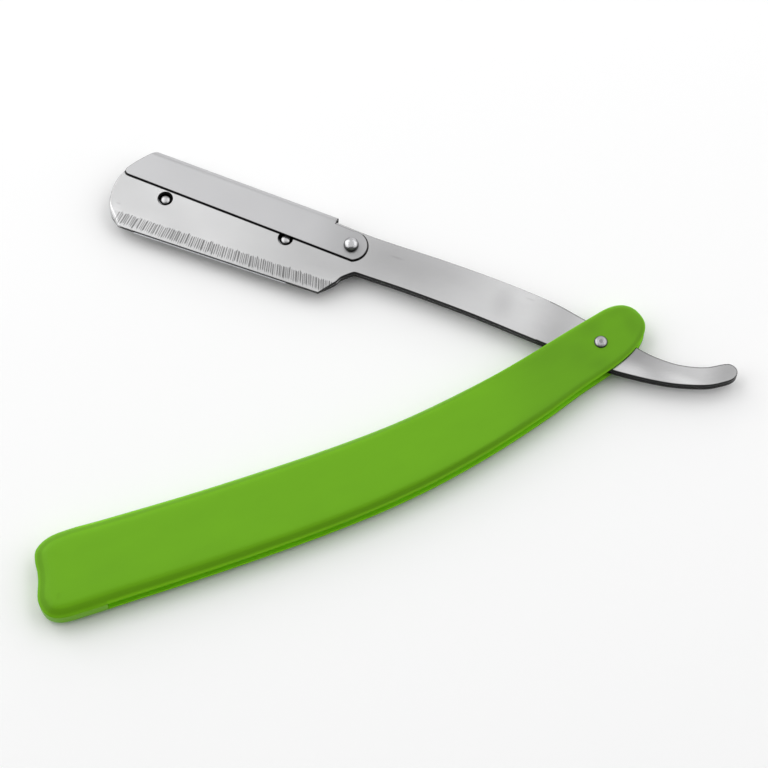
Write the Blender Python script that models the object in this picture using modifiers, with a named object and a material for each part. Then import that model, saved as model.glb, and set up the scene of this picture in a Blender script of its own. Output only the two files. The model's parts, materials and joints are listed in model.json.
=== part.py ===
"""Folding straight razor that holds half of a double-edge blade.

The pieces are laid out folded shut: the pivot's axis is Z, the arm's nose and the handle's butt lie towards
-X, the spine towards +Y and the cutting edge towards -Y, and the blade lies in the plane z = 0. An empty on
the pivot then turns the arm open, and a second empty carries everything so that the razor lies on z = 0 with
its bounding box centred on the origin. All sizes are metres.
"""

import bpy
import bmesh
from math import acos, atan, cos, pi, radians, sin, sqrt, tan
from mathutils import Matrix, Vector

# Half blade: a standard double-edge blade snapped along its middle
BLADE_LENGTH = 0.0430
BLADE_DEPTH = 0.0110
BLADE_THICKNESS = 0.0001
BLADE_EDGE_LENGTH = 0.0374
BLADE_TAB_DEPTH = 0.0066
BLADE_SHOULDER = 0.0009
BLADE_SLOT_LENGTH = 0.0368
BLADE_SLOT_HALF_WIDTH = 0.0007
BLADE_NOTCH_RADIUS = 0.0019
BLADE_FACE_CLEARANCE = 0.00003

# Pegs that the blade's back notches sit on
PEG_SPACING = 0.0297
PEG_RADIUS = 0.0011
PEG_RISE = 0.00045
PEG_DOME_HEIGHT = 0.0004
PEG_RECESS = 0.0003
PEG_WINDOW_CLEARANCE = 0.0006
FIXED_CLEARANCE = 0.00002
RUNNING_CLEARANCE = 0.00004

# Arm: two pressed plates, each with holder, tang and tail in one piece
PLATE_THICKNESS = 0.0011
HEEL_REACH = 0.0645
HEEL_MARGIN = 0.0050
NOSE_MARGIN = 0.0058
NOSE_DEPTH = 0.0064
EDGE_DROP = 0.0095
SPINE_RISE_HEEL = 0.0083
SPINE_RISE_NOSE = 0.0100
TANG_RISE = 0.00775
TAIL_REACH = 0.0311
TAIL_DEPTH = 0.0049
TAIL_CURL = 0.0054
GRIND_WIDTH = 0.0032
GRIND_LIP = 0.00035

# Swing lock: a channel folded from thin sheet over both plates, turning on a rivet
LOCK_SHEET = 0.0005
LOCK_FACE_CLEARANCE = 0.00004
LOCK_SPINE_CLEARANCE = 0.00006
LOCK_NOSE_RISE = 0.0030
LOCK_EDGE_LIFT = 0.00034
LOCK_CORNER_RADIUS = 0.0010
LOCK_FOLD_SETBACK = 0.0021
LUG_RADIUS = 0.0037
LUG_SHOULDER = 0.00025
LUG_START_ANGLE = radians(100)
RIVET_SETBACK = 0.0032
RIVET_RISE = 0.00375
RIVET_RADIUS = 0.00095
RIVET_HEAD_RADIUS = 0.00175
RIVET_HEAD_HEIGHT = 0.00135
RIVET_HEAD_FULLNESS = 3.0
HEAD_SEAT_CLEARANCE = 0.00003

# Pivot: a peened pin through both scales, with a thin washer on each side of the tang
PIN_RADIUS = 0.0010
PIN_HEAD_RADIUS = 0.0015
PIN_HEAD_HEIGHT = 0.0005
PIN_DIMPLE_DEPTH = 0.00015
PIN_DIMPLE_RADIUS = 0.0007
WASHER_RADIUS = 0.0034
WASHER_THICKNESS = 0.00021
WASHER_CLEARANCE = 0.00003

# Handle: one moulding, two scales joined by a solid butt, with a slot that takes the plates but not the lock
HANDLE_WIDTH = 0.0175
PIVOT_END_REACH = 0.0114
BUTT_LENGTH = 0.0137
NOSE_ROOM = 0.0056
SLOT_SIDE_ROOM = 0.00015
PIVOT_WALL = 0.00115
HOLDER_WALL = 0.00192
HANDLE_EDGE_RADIUS = 0.0017
PIVOT_FLAT_REACH = 0.0060
TAPER_REACH = 0.0520

# How far cutters run past what they cut
OVERRUN = 0.0020

# How far the arm stands open, from lying straight along the handle
OPEN_ANGLE = radians(43.4)

# How finely curves are divided
ROUND_STEPS = 32
HOLE_STEPS = 40
SPAN_STEPS = 3
CORNER_STEPS = 4
DOME_STEPS = 6
EDGE_ROUND_STEPS = 3
SHARP_ANGLE = radians(35)
MERGE_DISTANCE = 1e-7

# Outline of the handle: share of its reach from the pivot, share of its width above the pivot line
HANDLE_BODY_SHARES = [
    (0.000, 0.375), (0.051, 0.307), (0.116, 0.214), (0.184, 0.133), (0.264, 0.067), (0.334, 0.029),
    (0.400, 0.018), (0.480, 0.032), (0.570, 0.069), (0.710, 0.149), (0.850, 0.257), (0.915, 0.315),
    (0.950, 0.307), (0.973, 0.216), (0.981, 0.080), (0.984, -0.070), (0.989, -0.200), (0.997, -0.350),
    (1.000, -0.475), (0.994, -0.645), (0.975, -0.744), (0.940, -0.779), (0.880, -0.813), (0.800, -0.859),
    (0.690, -0.913), (0.580, -0.951), (0.480, -0.963), (0.400, -0.944), (0.320, -0.891), (0.225, -0.780),
    (0.131, -0.625), (0.0625, -0.483), (0.000, -0.374),
]
# The same for its rounded pivot end: share of that end's reach, share of the handle's width
HANDLE_PIVOT_END_SHARES = [
    (0.425, -0.287), (0.706, -0.189), (0.917, -0.067), (1.000, 0.069), (0.957, 0.229), (0.853, 0.331),
    (0.690, 0.395), (0.430, 0.416),
]
# Outline of the nose, edge to spine: share of the nose's depth, share of the arm's full height
NOSE_SHARES = [
    (0.28, 0.00), (0.66, 0.09), (0.85, 0.195), (0.96, 0.31), (1.00, 0.43), (0.95, 0.56), (0.81, 0.67),
    (0.59, 0.78), (0.34, 0.88), (0.00, 1.00),
]
# Heel and underside of the tang: share of the heel's reach, share of the edge's drop
UNDERSIDE_SHARES = [
    (1.000, 1.000), (0.978, 0.822), (0.962, 0.685), (0.953, 0.605), (0.947, 0.510), (0.940, 0.435),
    (0.923, 0.322), (0.912, 0.256), (0.904, 0.223), (0.892, 0.216),
    (0.850, 0.219), (0.700, 0.226), (0.470, 0.284), (0.280, 0.380), (0.120, 0.460),
]
# Underside of the tail: share of its reach, share of its depth below the pivot line
TAIL_UNDER_SHARES = [
    (0.00, 1.00), (0.13, 1.03), (0.26, 0.99), (0.45, 0.87), (0.63, 0.66), (0.82, 0.27), (0.93, -0.15),
]
# Tip and upper side of the tail: share of its reach, share of its curl above the pivot line
TAIL_TOP_SHARES = [
    (0.982, 0.40), (1.000, 0.67), (0.981, 0.91), (0.932, 1.01), (0.880, 0.90), (0.790, 0.58), (0.690, 0.37),
    (0.550, 0.23), (0.390, 0.25), (0.260, 0.38), (0.100, 0.61),
]
# Upper side of the tang: share of the heel's reach, share of the tang's rise
TANG_TOP_SHARES = [
    (0.078, 0.59), (0.190, 0.78), (0.310, 0.885), (0.470, 0.96), (0.650, 0.99), (0.880, 0.99),
]

# Finishes: colour, roughness, metallic value
FINISHES = {
    "green_plastic": ((0.15, 0.39, 0.026), 0.42, 0.0),
    "plate_steel": ((0.72, 0.72, 0.73), 0.28, 1.0),
    "lock_steel": ((0.70, 0.70, 0.72), 0.34, 1.0),
    "blade_steel": ((0.62, 0.63, 0.65), 0.22, 1.0),
    "rivet_steel": ((0.78, 0.78, 0.79), 0.16, 1.0),
    "washer_brass": ((0.72, 0.53, 0.22), 0.35, 1.0),
}

# Sizes and places that follow from the values above
BLADE_GAP_HALF = BLADE_THICKNESS / 2 + BLADE_FACE_CLEARANCE
PACK_HALF = BLADE_GAP_HALF + PLATE_THICKNESS
HOLDER_LENGTH = HEEL_MARGIN + BLADE_LENGTH + NOSE_MARGIN
NOSE_REACH = HEEL_REACH + HOLDER_LENGTH
BLADE_CENTRE_X = -(HEEL_REACH + HEEL_MARGIN + BLADE_LENGTH / 2)
BLADE_BACK_RISE = PEG_RISE - PEG_RADIUS + BLADE_NOTCH_RADIUS - FIXED_CLEARANCE
PEG_XS = {"heel": BLADE_CENTRE_X + PEG_SPACING / 2, "nose": BLADE_CENTRE_X - PEG_SPACING / 2}
LOCK_INNER = PACK_HALF + LOCK_FACE_CLEARANCE
LOCK_OUTER = LOCK_INNER + LOCK_SHEET
FOLD_START_X = -(HEEL_REACH + LOCK_FOLD_SETBACK)
NOSE_CORNER_X = -(NOSE_REACH - NOSE_DEPTH)
RIVET_X = -(HEEL_REACH - RIVET_SETBACK)
SPINE_SLOPE = (SPINE_RISE_NOSE - SPINE_RISE_HEEL) / (NOSE_CORNER_X - FOLD_START_X)
FOLD_DROP = sqrt(LOCK_INNER**2 - PACK_HALF**2) - LOCK_SPINE_CLEARANCE
APEX_RISE_NOSE = SPINE_RISE_NOSE - FOLD_DROP + LOCK_OUTER
PIVOT_SLOT_HALF = PACK_HALF + WASHER_THICKNESS + 2 * WASHER_CLEARANCE
HOLDER_SLOT_HALF = PACK_HALF + SLOT_SIDE_ROOM
PIVOT_HALF = PIVOT_SLOT_HALF + PIVOT_WALL
HANDLE_HALF = HOLDER_SLOT_HALF + HOLDER_WALL
SLOT_END_X = -(NOSE_REACH + NOSE_ROOM)
HANDLE_REACH = NOSE_REACH + NOSE_ROOM + BUTT_LENGTH


def clear_scene():
    """Remove every object that the scene starts with."""
    for item in list(bpy.data.objects):
        bpy.data.objects.remove(item, do_unlink=True)


def make_collection(name):
    """Add a collection to the scene."""
    collection = bpy.data.collections.new(name)
    bpy.context.scene.collection.children.link(collection)
    return collection


def make_material(name, colour, roughness, metallic):
    """Return a plain Principled material."""
    material = bpy.data.materials.new(name)
    material.use_nodes = True
    shader = material.node_tree.nodes["Principled BSDF"]
    shader.inputs["Base Color"].default_value = (*colour, 1)
    shader.inputs["Roughness"].default_value = roughness
    shader.inputs["Metallic"].default_value = metallic
    return material


def make_empty(name, location, parent=None):
    """Return an empty that carries other objects."""
    empty = bpy.data.objects.new(name, None)
    empty.location = location
    empty.parent = parent
    razor.objects.link(empty)
    return empty


def add_piece(name, mesh, material, parent, location=(0, 0, 0)):
    """Return a visible piece of the razor."""
    piece = bpy.data.objects.new(name, mesh)
    piece.location = location
    piece.parent = parent
    mesh.materials.clear()
    mesh.materials.append(material)
    mesh.shade_smooth()
    mesh.set_sharp_from_angle(angle=SHARP_ANGLE)
    razor.objects.link(piece)
    return piece


def add_cutter(name, mesh, parent, location=(0, 0, 0)):
    """Return a hidden cutter."""
    cutter = bpy.data.objects.new(name, mesh)
    cutter.location = location
    cutter.parent = parent
    cutter.hide_render = True
    cutter.display_type = "WIRE"
    cutters.objects.link(cutter)
    return cutter


def cut(piece, cutter, operation="DIFFERENCE"):
    """Add a Boolean modifier to a piece."""
    modifier = piece.modifiers.new(cutter.name, "BOOLEAN")
    modifier.operation = operation
    modifier.solver = "EXACT"
    modifier.object = cutter


def smooth_run(points, closed=False, steps=SPAN_STEPS):
    """Sample the smooth curve through the points (a Catmull-Rom spline)."""
    count = len(points)
    spans = count if closed else count - 1
    run = []
    for index in range(spans):
        if closed:
            corners = [points[(index + shift) % count] for shift in (-1, 0, 1, 2)]
        else:
            corners = [points[min(max(index + shift, 0), count - 1)] for shift in (-1, 0, 1, 2)]
        before, start, end, after = (Vector(corner) for corner in corners)
        for step in range(steps):
            t = step / steps
            bend = 2 * start + t * (end - before)
            bend += t**2 * (2 * before - 5 * start + 4 * end - after)
            bend += t**3 * (3 * start - before - 3 * end + after)
            run.append(bend / 2)
    if not closed:
        run.append(Vector(points[-1]))
    return run


def arc_run(centre, radius, start, end, steps):
    """Sample an arc, its angles given in radians."""
    angles = [start + (end - start) * step / steps for step in range(steps + 1)]
    return [Vector((centre[0] + radius * cos(angle), centre[1] + radius * sin(angle))) for angle in angles]


def split_run(run, level):
    """Split a rising run where it crosses the line level(x), with the crossing in both parts."""
    for index in range(1, len(run)):
        low, high = run[index - 1], run[index]
        low_gap = level(low.x) - low.y
        high_gap = high.y - level(high.x)
        if low_gap >= 0 and high_gap > 0:
            crossing = low.lerp(high, low_gap / (low_gap + high_gap))
            return run[:index] + [crossing], [crossing] + run[index:]
    raise ValueError("the run doesn't reach the line")


def round_corner(before, corner, after, radius):
    """Return the arc, as a quadratic curve, that rounds a corner between two directions."""
    back = (before - corner).normalized()
    ahead = (after - corner).normalized()
    length = radius / tan(back.angle(ahead) / 2)
    start = corner + back * length
    end = corner + ahead * length
    run = []
    for step in range(CORNER_STEPS + 1):
        t = step / CORNER_STEPS
        run.append(start * (1 - t) ** 2 + corner * 2 * t * (1 - t) + end * t**2)
    return run, length


def flat_mesh(name, outline, half_thickness, edge_radius=0.0):
    """Return the mesh of a flat outline, thickened evenly to both sides of z = 0, with rounded edges."""
    curve = bpy.data.curves.new(name, "CURVE")
    curve.dimensions = "2D"
    curve.fill_mode = "BOTH"
    curve.extrude = half_thickness - edge_radius
    if edge_radius > 0:
        curve.bevel_depth = edge_radius
        curve.bevel_resolution = EDGE_ROUND_STEPS
        curve.offset = -edge_radius
    spline = curve.splines.new("POLY")
    spline.points.add(len(outline) - 1)
    for point, place in zip(spline.points, outline):
        point.co = (place.x, place.y, 0, 1)
    spline.use_cyclic_u = True
    guide = bpy.data.objects.new(name + "_outline", curve)
    cutters.objects.link(guide)
    bpy.context.view_layer.update()
    evaluated = guide.evaluated_get(bpy.context.evaluated_depsgraph_get())
    mesh = bpy.data.meshes.new_from_object(evaluated)
    bpy.data.objects.remove(guide, do_unlink=True)
    bpy.data.curves.remove(curve)
    work = bmesh.new()
    work.from_mesh(mesh)
    bmesh.ops.remove_doubles(work, verts=work.verts, dist=MERGE_DISTANCE)
    bmesh.ops.recalc_face_normals(work, faces=work.faces)
    work.to_mesh(mesh)
    work.free()
    mesh.name = name
    return mesh


def cylinder_mesh(name, radius, length):
    """Return an upright closed cylinder centred on the origin."""
    work = bmesh.new()
    bmesh.ops.create_cone(
        work, cap_ends=True, segments=HOLE_STEPS, radius1=radius, radius2=radius, depth=length
    )
    mesh = bpy.data.meshes.new(name)
    work.to_mesh(mesh)
    work.free()
    return mesh


def box_mesh(name, low, high):
    """Return a closed box between two corners."""
    work = bmesh.new()
    bmesh.ops.create_cube(work, size=1)
    low, high = Vector(low), Vector(high)
    bmesh.ops.scale(work, vec=high - low, verts=work.verts)
    bmesh.ops.translate(work, vec=(low + high) / 2, verts=work.verts)
    mesh = bpy.data.meshes.new(name)
    work.to_mesh(mesh)
    work.free()
    return mesh


def turned_piece(name, profile, material, parent, location, ring=False):
    """Return a turned piece. Its profile runs down its outer side, from axis to axis unless it is a ring."""
    mesh = bpy.data.meshes.new(name)
    edges = [(index, index + 1) for index in range(len(profile) - 1)]
    if ring:
        edges.append((len(profile) - 1, 0))
    mesh.from_pydata([(radius, 0, height) for radius, height in profile], edges, [])
    piece = bpy.data.objects.new(name, mesh)
    piece.location = location
    piece.parent = parent
    mesh.materials.append(material)
    screw = piece.modifiers.new("turn", "SCREW")
    screw.steps = ROUND_STEPS
    screw.render_steps = ROUND_STEPS
    screw.use_merge_vertices = True
    screw.merge_threshold = MERGE_DISTANCE
    screw.use_smooth_shade = True
    razor.objects.link(piece)
    return piece


def dome_run(radius, base, height, fullness=2.0):
    """Return the profile of a domed end, from the axis out to its rim. A fullness over 2 squares the shoulder."""
    angles = [pi / 2 * (1 - step / DOME_STEPS) for step in range(DOME_STEPS + 1)]
    shares = [(max(cos(angle), 0), max(sin(angle), 0)) for angle in angles]
    shares = [(out ** (2 / fullness), up ** (2 / fullness)) for out, up in shares]
    return [(0, base + height)] + [(radius * out, base + height * up) for out, up in shares[1:]]


def taper_height(mesh, pivot_half, holder_half):
    """Thin a flat mesh towards the pivot: full height past the taper, the pivot's height near the pin."""
    work = bmesh.new()
    work.from_mesh(mesh)
    for reach in (TAPER_REACH, PIVOT_FLAT_REACH):
        bmesh.ops.bisect_plane(
            work,
            geom=work.verts[:] + work.edges[:] + work.faces[:],
            dist=MERGE_DISTANCE,
            plane_co=(-reach, 0, 0),
            plane_no=(1, 0, 0),
        )
    for vertex in work.verts:
        along = (-vertex.co.x - PIVOT_FLAT_REACH) / (TAPER_REACH - PIVOT_FLAT_REACH)
        along = min(max(along, 0), 1)
        vertex.co.z *= (pivot_half + (holder_half - pivot_half) * along) / holder_half
    work.to_mesh(mesh)
    work.free()


def spine_line(x):
    """Height of the plates' spine edge over the pivot line."""
    return SPINE_RISE_NOSE + SPINE_SLOPE * (x - NOSE_CORNER_X)


def nose_run():
    """Outline of the nose from the cutting edge up to the top of the lock's fold."""
    height = APEX_RISE_NOSE + EDGE_DROP
    points = [(NOSE_CORNER_X - across * NOSE_DEPTH, up * height - EDGE_DROP) for across, up in NOSE_SHARES]
    return smooth_run(points)


def plate_outline():
    """Outline shared by both plates: nose, edge, heel, tang and tail."""
    nose, _ = split_run(nose_run(), spine_line)
    underside = [(-along * HEEL_REACH, -down * EDGE_DROP) for along, down in UNDERSIDE_SHARES]
    underside += [(along * TAIL_REACH, -down * TAIL_DEPTH) for along, down in TAIL_UNDER_SHARES]
    underside += [(along * TAIL_REACH, up * TAIL_CURL) for along, up in TAIL_TOP_SHARES]
    underside += [(-along * HEEL_REACH, up * TANG_RISE) for along, up in TANG_TOP_SHARES]
    underside.append((FOLD_START_X, spine_line(FOLD_START_X)))
    return nose[::-1] + smooth_run(underside)


def grind_cutter(name, side, parent):
    """Wedge that grinds a plate's outer face down towards the cutting edge."""
    fall = PACK_HALF - BLADE_GAP_HALF - GRIND_LIP
    slope = atan(fall / GRIND_WIDTH)
    length = HOLDER_LENGTH + 2 * OVERRUN
    low = (-length / 2, -GRIND_WIDTH - 2 * OVERRUN, 0)
    mesh = box_mesh(name, low, (length / 2, 2 * OVERRUN, 2 * OVERRUN))
    mesh.transform(Matrix.Rotation(slope, 4, "X"))
    if side < 0:
        mesh.transform(Matrix.Rotation(pi, 4, "Y"))
    middle = -(HEEL_REACH + HOLDER_LENGTH / 2)
    return add_cutter(name, mesh, parent, (middle, GRIND_WIDTH - EDGE_DROP, side * PACK_HALF))


def make_plate(name, side, peg_hole_radius, material, parent):
    """One plate of the arm. side is 1 for the front plate and -1 for the rear one."""
    mesh = flat_mesh(name, plate_outline(), PLATE_THICKNESS / 2)
    mesh.transform(Matrix.Translation((0, 0, side * (BLADE_GAP_HALF + PLATE_THICKNESS / 2))))
    plate = add_piece(name, mesh, material, parent)
    cut(plate, grind_cutter(name + "_grind", side, parent))
    holes = [("pivot", 0, 0, PIN_RADIUS + RUNNING_CLEARANCE)]
    holes.append(("rivet", RIVET_X, RIVET_RISE, RIVET_RADIUS + FIXED_CLEARANCE))
    holes += [(where, x, PEG_RISE, peg_hole_radius) for where, x in PEG_XS.items()]
    for where, x, y, radius in holes:
        hole = cylinder_mesh(f"{name}_{where}_hole", radius, 2 * (PACK_HALF + OVERRUN))
        cut(plate, add_cutter(hole.name, hole, parent, (x, y, 0)))
    return plate


def make_pegs(material, parent):
    """Two pegs fixed in the rear plate, their domed tips in the front plate's windows."""
    top = PACK_HALF - PEG_RECESS
    profile = dome_run(PEG_RADIUS, top - PEG_DOME_HEIGHT, PEG_DOME_HEIGHT)
    profile += [(PEG_RADIUS, PEG_RECESS - PACK_HALF), (0, PEG_RECESS - PACK_HALF)]
    for where, x in PEG_XS.items():
        turned_piece(f"locating_peg_{where}", profile, material, parent, (x, PEG_RISE, 0))


def make_blade(material, parent):
    """Half blade: end tabs, an edge shorter than the blade, and a slotted back with three round notches."""
    half = BLADE_LENGTH / 2
    edge_half = BLADE_EDGE_LENGTH / 2
    slot_half = BLADE_SLOT_LENGTH / 2
    sunk = sqrt(BLADE_NOTCH_RADIUS**2 - BLADE_SLOT_HALF_WIDTH**2)
    start = pi + atan(BLADE_SLOT_HALF_WIDTH / sunk)
    outline = [Vector((-half, 0)), Vector((-half, -BLADE_TAB_DEPTH))]
    outline += [Vector((-edge_half, -BLADE_TAB_DEPTH - BLADE_SHOULDER)), Vector((-edge_half, -BLADE_DEPTH))]
    outline += [Vector((edge_half, -BLADE_DEPTH)), Vector((edge_half, -BLADE_TAB_DEPTH - BLADE_SHOULDER))]
    outline += [Vector((half, -BLADE_TAB_DEPTH)), Vector((half, 0)), Vector((slot_half, 0))]
    outline.append(Vector((slot_half, -BLADE_SLOT_HALF_WIDTH)))
    for x in (PEG_SPACING / 2, 0, -PEG_SPACING / 2):
        outline += arc_run((x, 0), BLADE_NOTCH_RADIUS, 3 * pi - start, start, 2 * CORNER_STEPS)
    outline += [Vector((-slot_half, -BLADE_SLOT_HALF_WIDTH)), Vector((-slot_half, 0))]
    mesh = flat_mesh("half_blade", outline, BLADE_THICKNESS / 2)
    return add_piece("half_blade", mesh, material, parent, (BLADE_CENTRE_X, BLADE_BACK_RISE, 0))


def leaf_outline():
    """Outline of the lock seen from the front, from the rivet's axis: lug, leaf and nose."""
    rivet = Vector((RIVET_X, RIVET_RISE))
    below = LUG_RADIUS - LOCK_EDGE_LIFT
    slope = (LOCK_NOSE_RISE - rivet.y + below) / (NOSE_CORNER_X - rivet.x)
    foot_angle = atan(slope) - pi / 2 + acos(below * cos(atan(slope)) / LUG_RADIUS)
    foot = rivet + LUG_RADIUS * Vector((cos(foot_angle), sin(foot_angle)))

    def lower_edge(x):
        """Height of the leaf's straight lower edge."""
        return foot.y + slope * (x - foot.x)

    _, nose = split_run(nose_run(), lower_edge)
    corner = nose[0]
    rounded, cut_back = round_corner(foot, corner, nose[2], LOCK_CORNER_RADIUS)
    nose = [point for point in nose if (point - corner).length > cut_back]
    top = APEX_RISE_NOSE + OVERRUN
    rise = (nose[-1] - nose[-2]).normalized()
    nose.append(nose[-1] + rise * (top - nose[-1].y) / rise.y)
    lug_top = rivet.y + LUG_RADIUS + LUG_SHOULDER
    outline = rounded + nose
    outline += [Vector((FOLD_START_X, top)), Vector((FOLD_START_X, lug_top))]
    outline += arc_run(rivet, LUG_RADIUS, LUG_START_ANGLE, foot_angle, 4 * CORNER_STEPS)
    return [point - rivet for point in outline]


def make_lock(material, parent):
    """Swing lock: a long channel section cut to the leaf's outline, with a hole on the rivet's axis."""
    depth = SPINE_RISE_NOSE + EDGE_DROP
    outer = arc_run((0, 0), LOCK_OUTER, 0, pi, 4 * CORNER_STEPS)
    inner = arc_run((0, 0), LOCK_INNER, pi, 0, 4 * CORNER_STEPS)
    section = [Vector((LOCK_OUTER, -depth))] + outer + [Vector((-LOCK_OUTER, -depth))]
    section += [Vector((-LOCK_INNER, -depth))] + inner + [Vector((LOCK_INNER, -depth))]
    channel = flat_mesh("swing_lock", section, HOLDER_LENGTH)
    channel.transform(Matrix(((0, 0, 1), (0, 1, 0), (-1, 0, 0))).to_4x4())
    tilt = Matrix.Rotation(atan(SPINE_SLOPE), 4, "Z")
    fold = Vector((NOSE_CORNER_X - RIVET_X, SPINE_RISE_NOSE - FOLD_DROP - RIVET_RISE, 0))
    channel.transform(Matrix.Translation(fold) @ tilt)
    lock = add_piece("swing_lock", channel, material, parent)
    leaf = flat_mesh("leaf_shape", leaf_outline(), LOCK_OUTER + OVERRUN)
    cut(lock, add_cutter("leaf_shape", leaf, parent), "INTERSECT")
    hole = cylinder_mesh("lock_hole", RIVET_RADIUS + RUNNING_CLEARANCE, 2 * (LOCK_OUTER + OVERRUN))
    cut(lock, add_cutter("lock_hole", hole, parent))
    return lock


def make_lock_rivet(material, parent):
    """Rivet with a domed head over each of the lock's lugs."""
    seat = LOCK_OUTER + HEAD_SEAT_CLEARANCE
    head = dome_run(RIVET_HEAD_RADIUS, seat, RIVET_HEAD_HEIGHT, RIVET_HEAD_FULLNESS)
    shank = [(RIVET_RADIUS, seat), (RIVET_RADIUS, -seat)]
    profile = head + shank + [(radius, -height) for radius, height in head[::-1]]
    return turned_piece("lock_rivet", profile, material, parent, (RIVET_X, RIVET_RISE, 0))


def make_pivot_pin(material, parent):
    """Pin peened over both scales, each head dimpled in the middle."""
    seat = PIVOT_HALF + HEAD_SEAT_CLEARANCE
    dome = dome_run(PIN_HEAD_RADIUS, seat, PIN_HEAD_HEIGHT)
    crown = [point for point in dome if point[0] > PIN_DIMPLE_RADIUS]
    head = [(0, seat + PIN_HEAD_HEIGHT - PIN_DIMPLE_DEPTH)] + crown
    shank = [(PIN_RADIUS, seat), (PIN_RADIUS, -seat)]
    profile = head + shank + [(radius, -height) for radius, height in head[::-1]]
    return turned_piece("pivot_pin", profile, material, parent, (0, 0, 0))


def make_washers(material, parent):
    """Thin washer between the tang and each scale."""
    bore = PIN_RADIUS + RUNNING_CLEARANCE
    low = PACK_HALF + WASHER_CLEARANCE
    high = low + WASHER_THICKNESS
    for name, side in (("pivot_washer_front", 1), ("pivot_washer_rear", -1)):
        bottom, top = sorted((side * low, side * high))
        profile = [(bore, top), (WASHER_RADIUS, top), (WASHER_RADIUS, bottom), (bore, bottom)]
        turned_piece(name, profile, material, parent, (0, 0, 0), ring=True)


def make_handle(material, parent):
    """Handle: both scales and the butt in one moulding, slotted right through from edge to edge."""
    points = [(-along * HANDLE_REACH, up * HANDLE_WIDTH) for along, up in HANDLE_BODY_SHARES]
    points += [(along * PIVOT_END_REACH, up * HANDLE_WIDTH) for along, up in HANDLE_PIVOT_END_SHARES]
    mesh = flat_mesh("handle", smooth_run(points, closed=True), HANDLE_HALF, HANDLE_EDGE_RADIUS)
    taper_height(mesh, PIVOT_HALF, HANDLE_HALF)
    handle = add_piece("handle", mesh, material, parent)
    low = (SLOT_END_X, -HANDLE_WIDTH - OVERRUN, -HOLDER_SLOT_HALF)
    high = (PIVOT_END_REACH + OVERRUN, HANDLE_WIDTH + OVERRUN, HOLDER_SLOT_HALF)
    slot = box_mesh("handle_slot", low, high)
    taper_height(slot, PIVOT_SLOT_HALF, HOLDER_SLOT_HALF)
    cut(handle, add_cutter("handle_slot", slot, parent))
    bore = cylinder_mesh("handle_bore", PIN_RADIUS + FIXED_CLEARANCE, 2 * (HANDLE_HALF + OVERRUN))
    cut(handle, add_cutter("handle_bore", bore, parent))
    return handle


def lay_down(carrier):
    """Move the carrier so that the razor lies on z = 0 with its bounding box centred on the origin."""
    bpy.context.view_layer.update()
    graph = bpy.context.evaluated_depsgraph_get()
    corners = []
    for piece in razor.objects:
        if piece.type == "MESH":
            evaluated = piece.evaluated_get(graph)
            corners += [evaluated.matrix_world @ vertex.co for vertex in evaluated.data.vertices]
    lows = [min(corner[axis] for corner in corners) for axis in range(3)]
    highs = [max(corner[axis] for corner in corners) for axis in range(3)]
    carrier.location = (-(lows[0] + highs[0]) / 2, -(lows[1] + highs[1]) / 2, -lows[2])


clear_scene()
razor = make_collection("straight_razor")
cutters = make_collection("cutters")

finishes = {name: make_material(name, *values) for name, values in FINISHES.items()}

carrier = make_empty("razor_carrier", (0, 0, 0))
arm = make_empty("arm_pivot", (0, 0, 0), carrier)
arm.rotation_euler = (0, 0, -OPEN_ANGLE)
lock_axis = make_empty("lock_axis", (RIVET_X, RIVET_RISE, 0), arm)

make_handle(finishes["green_plastic"], carrier)
make_pivot_pin(finishes["rivet_steel"], carrier)
make_washers(finishes["washer_brass"], carrier)
make_plate("front_plate", 1, PEG_RADIUS + PEG_WINDOW_CLEARANCE, finishes["plate_steel"], arm)
make_plate("rear_plate", -1, PEG_RADIUS + FIXED_CLEARANCE, finishes["plate_steel"], arm)
make_pegs(finishes["rivet_steel"], arm)
make_lock_rivet(finishes["rivet_steel"], arm)
make_lock(finishes["lock_steel"], lock_axis)
make_blade(finishes["blade_steel"], arm)
lay_down(carrier)
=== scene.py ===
"""Looks of a folding straight razor that holds half of a double-edge blade.

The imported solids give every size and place. This script lays finer surfaces over them, with rounded
edges, ground facets and peened heads, and gives each its finish. Sizes are metres. Flat pieces are worked
out in one of two flat frames, the handle's and the arm's. Both have their origin on the pivot, their x
axis runs towards it from the butt or from the nose, and their z axis goes through the scales.
"""

from __future__ import annotations

import json
import logging
from dataclasses import dataclass, field
from enum import Enum
from functools import reduce
from typing import Callable, Sequence

import bmesh
import bpy
import numpy as np
from mathutils import Matrix, Vector
from mathutils.geometry import tessellate_polygon

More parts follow.
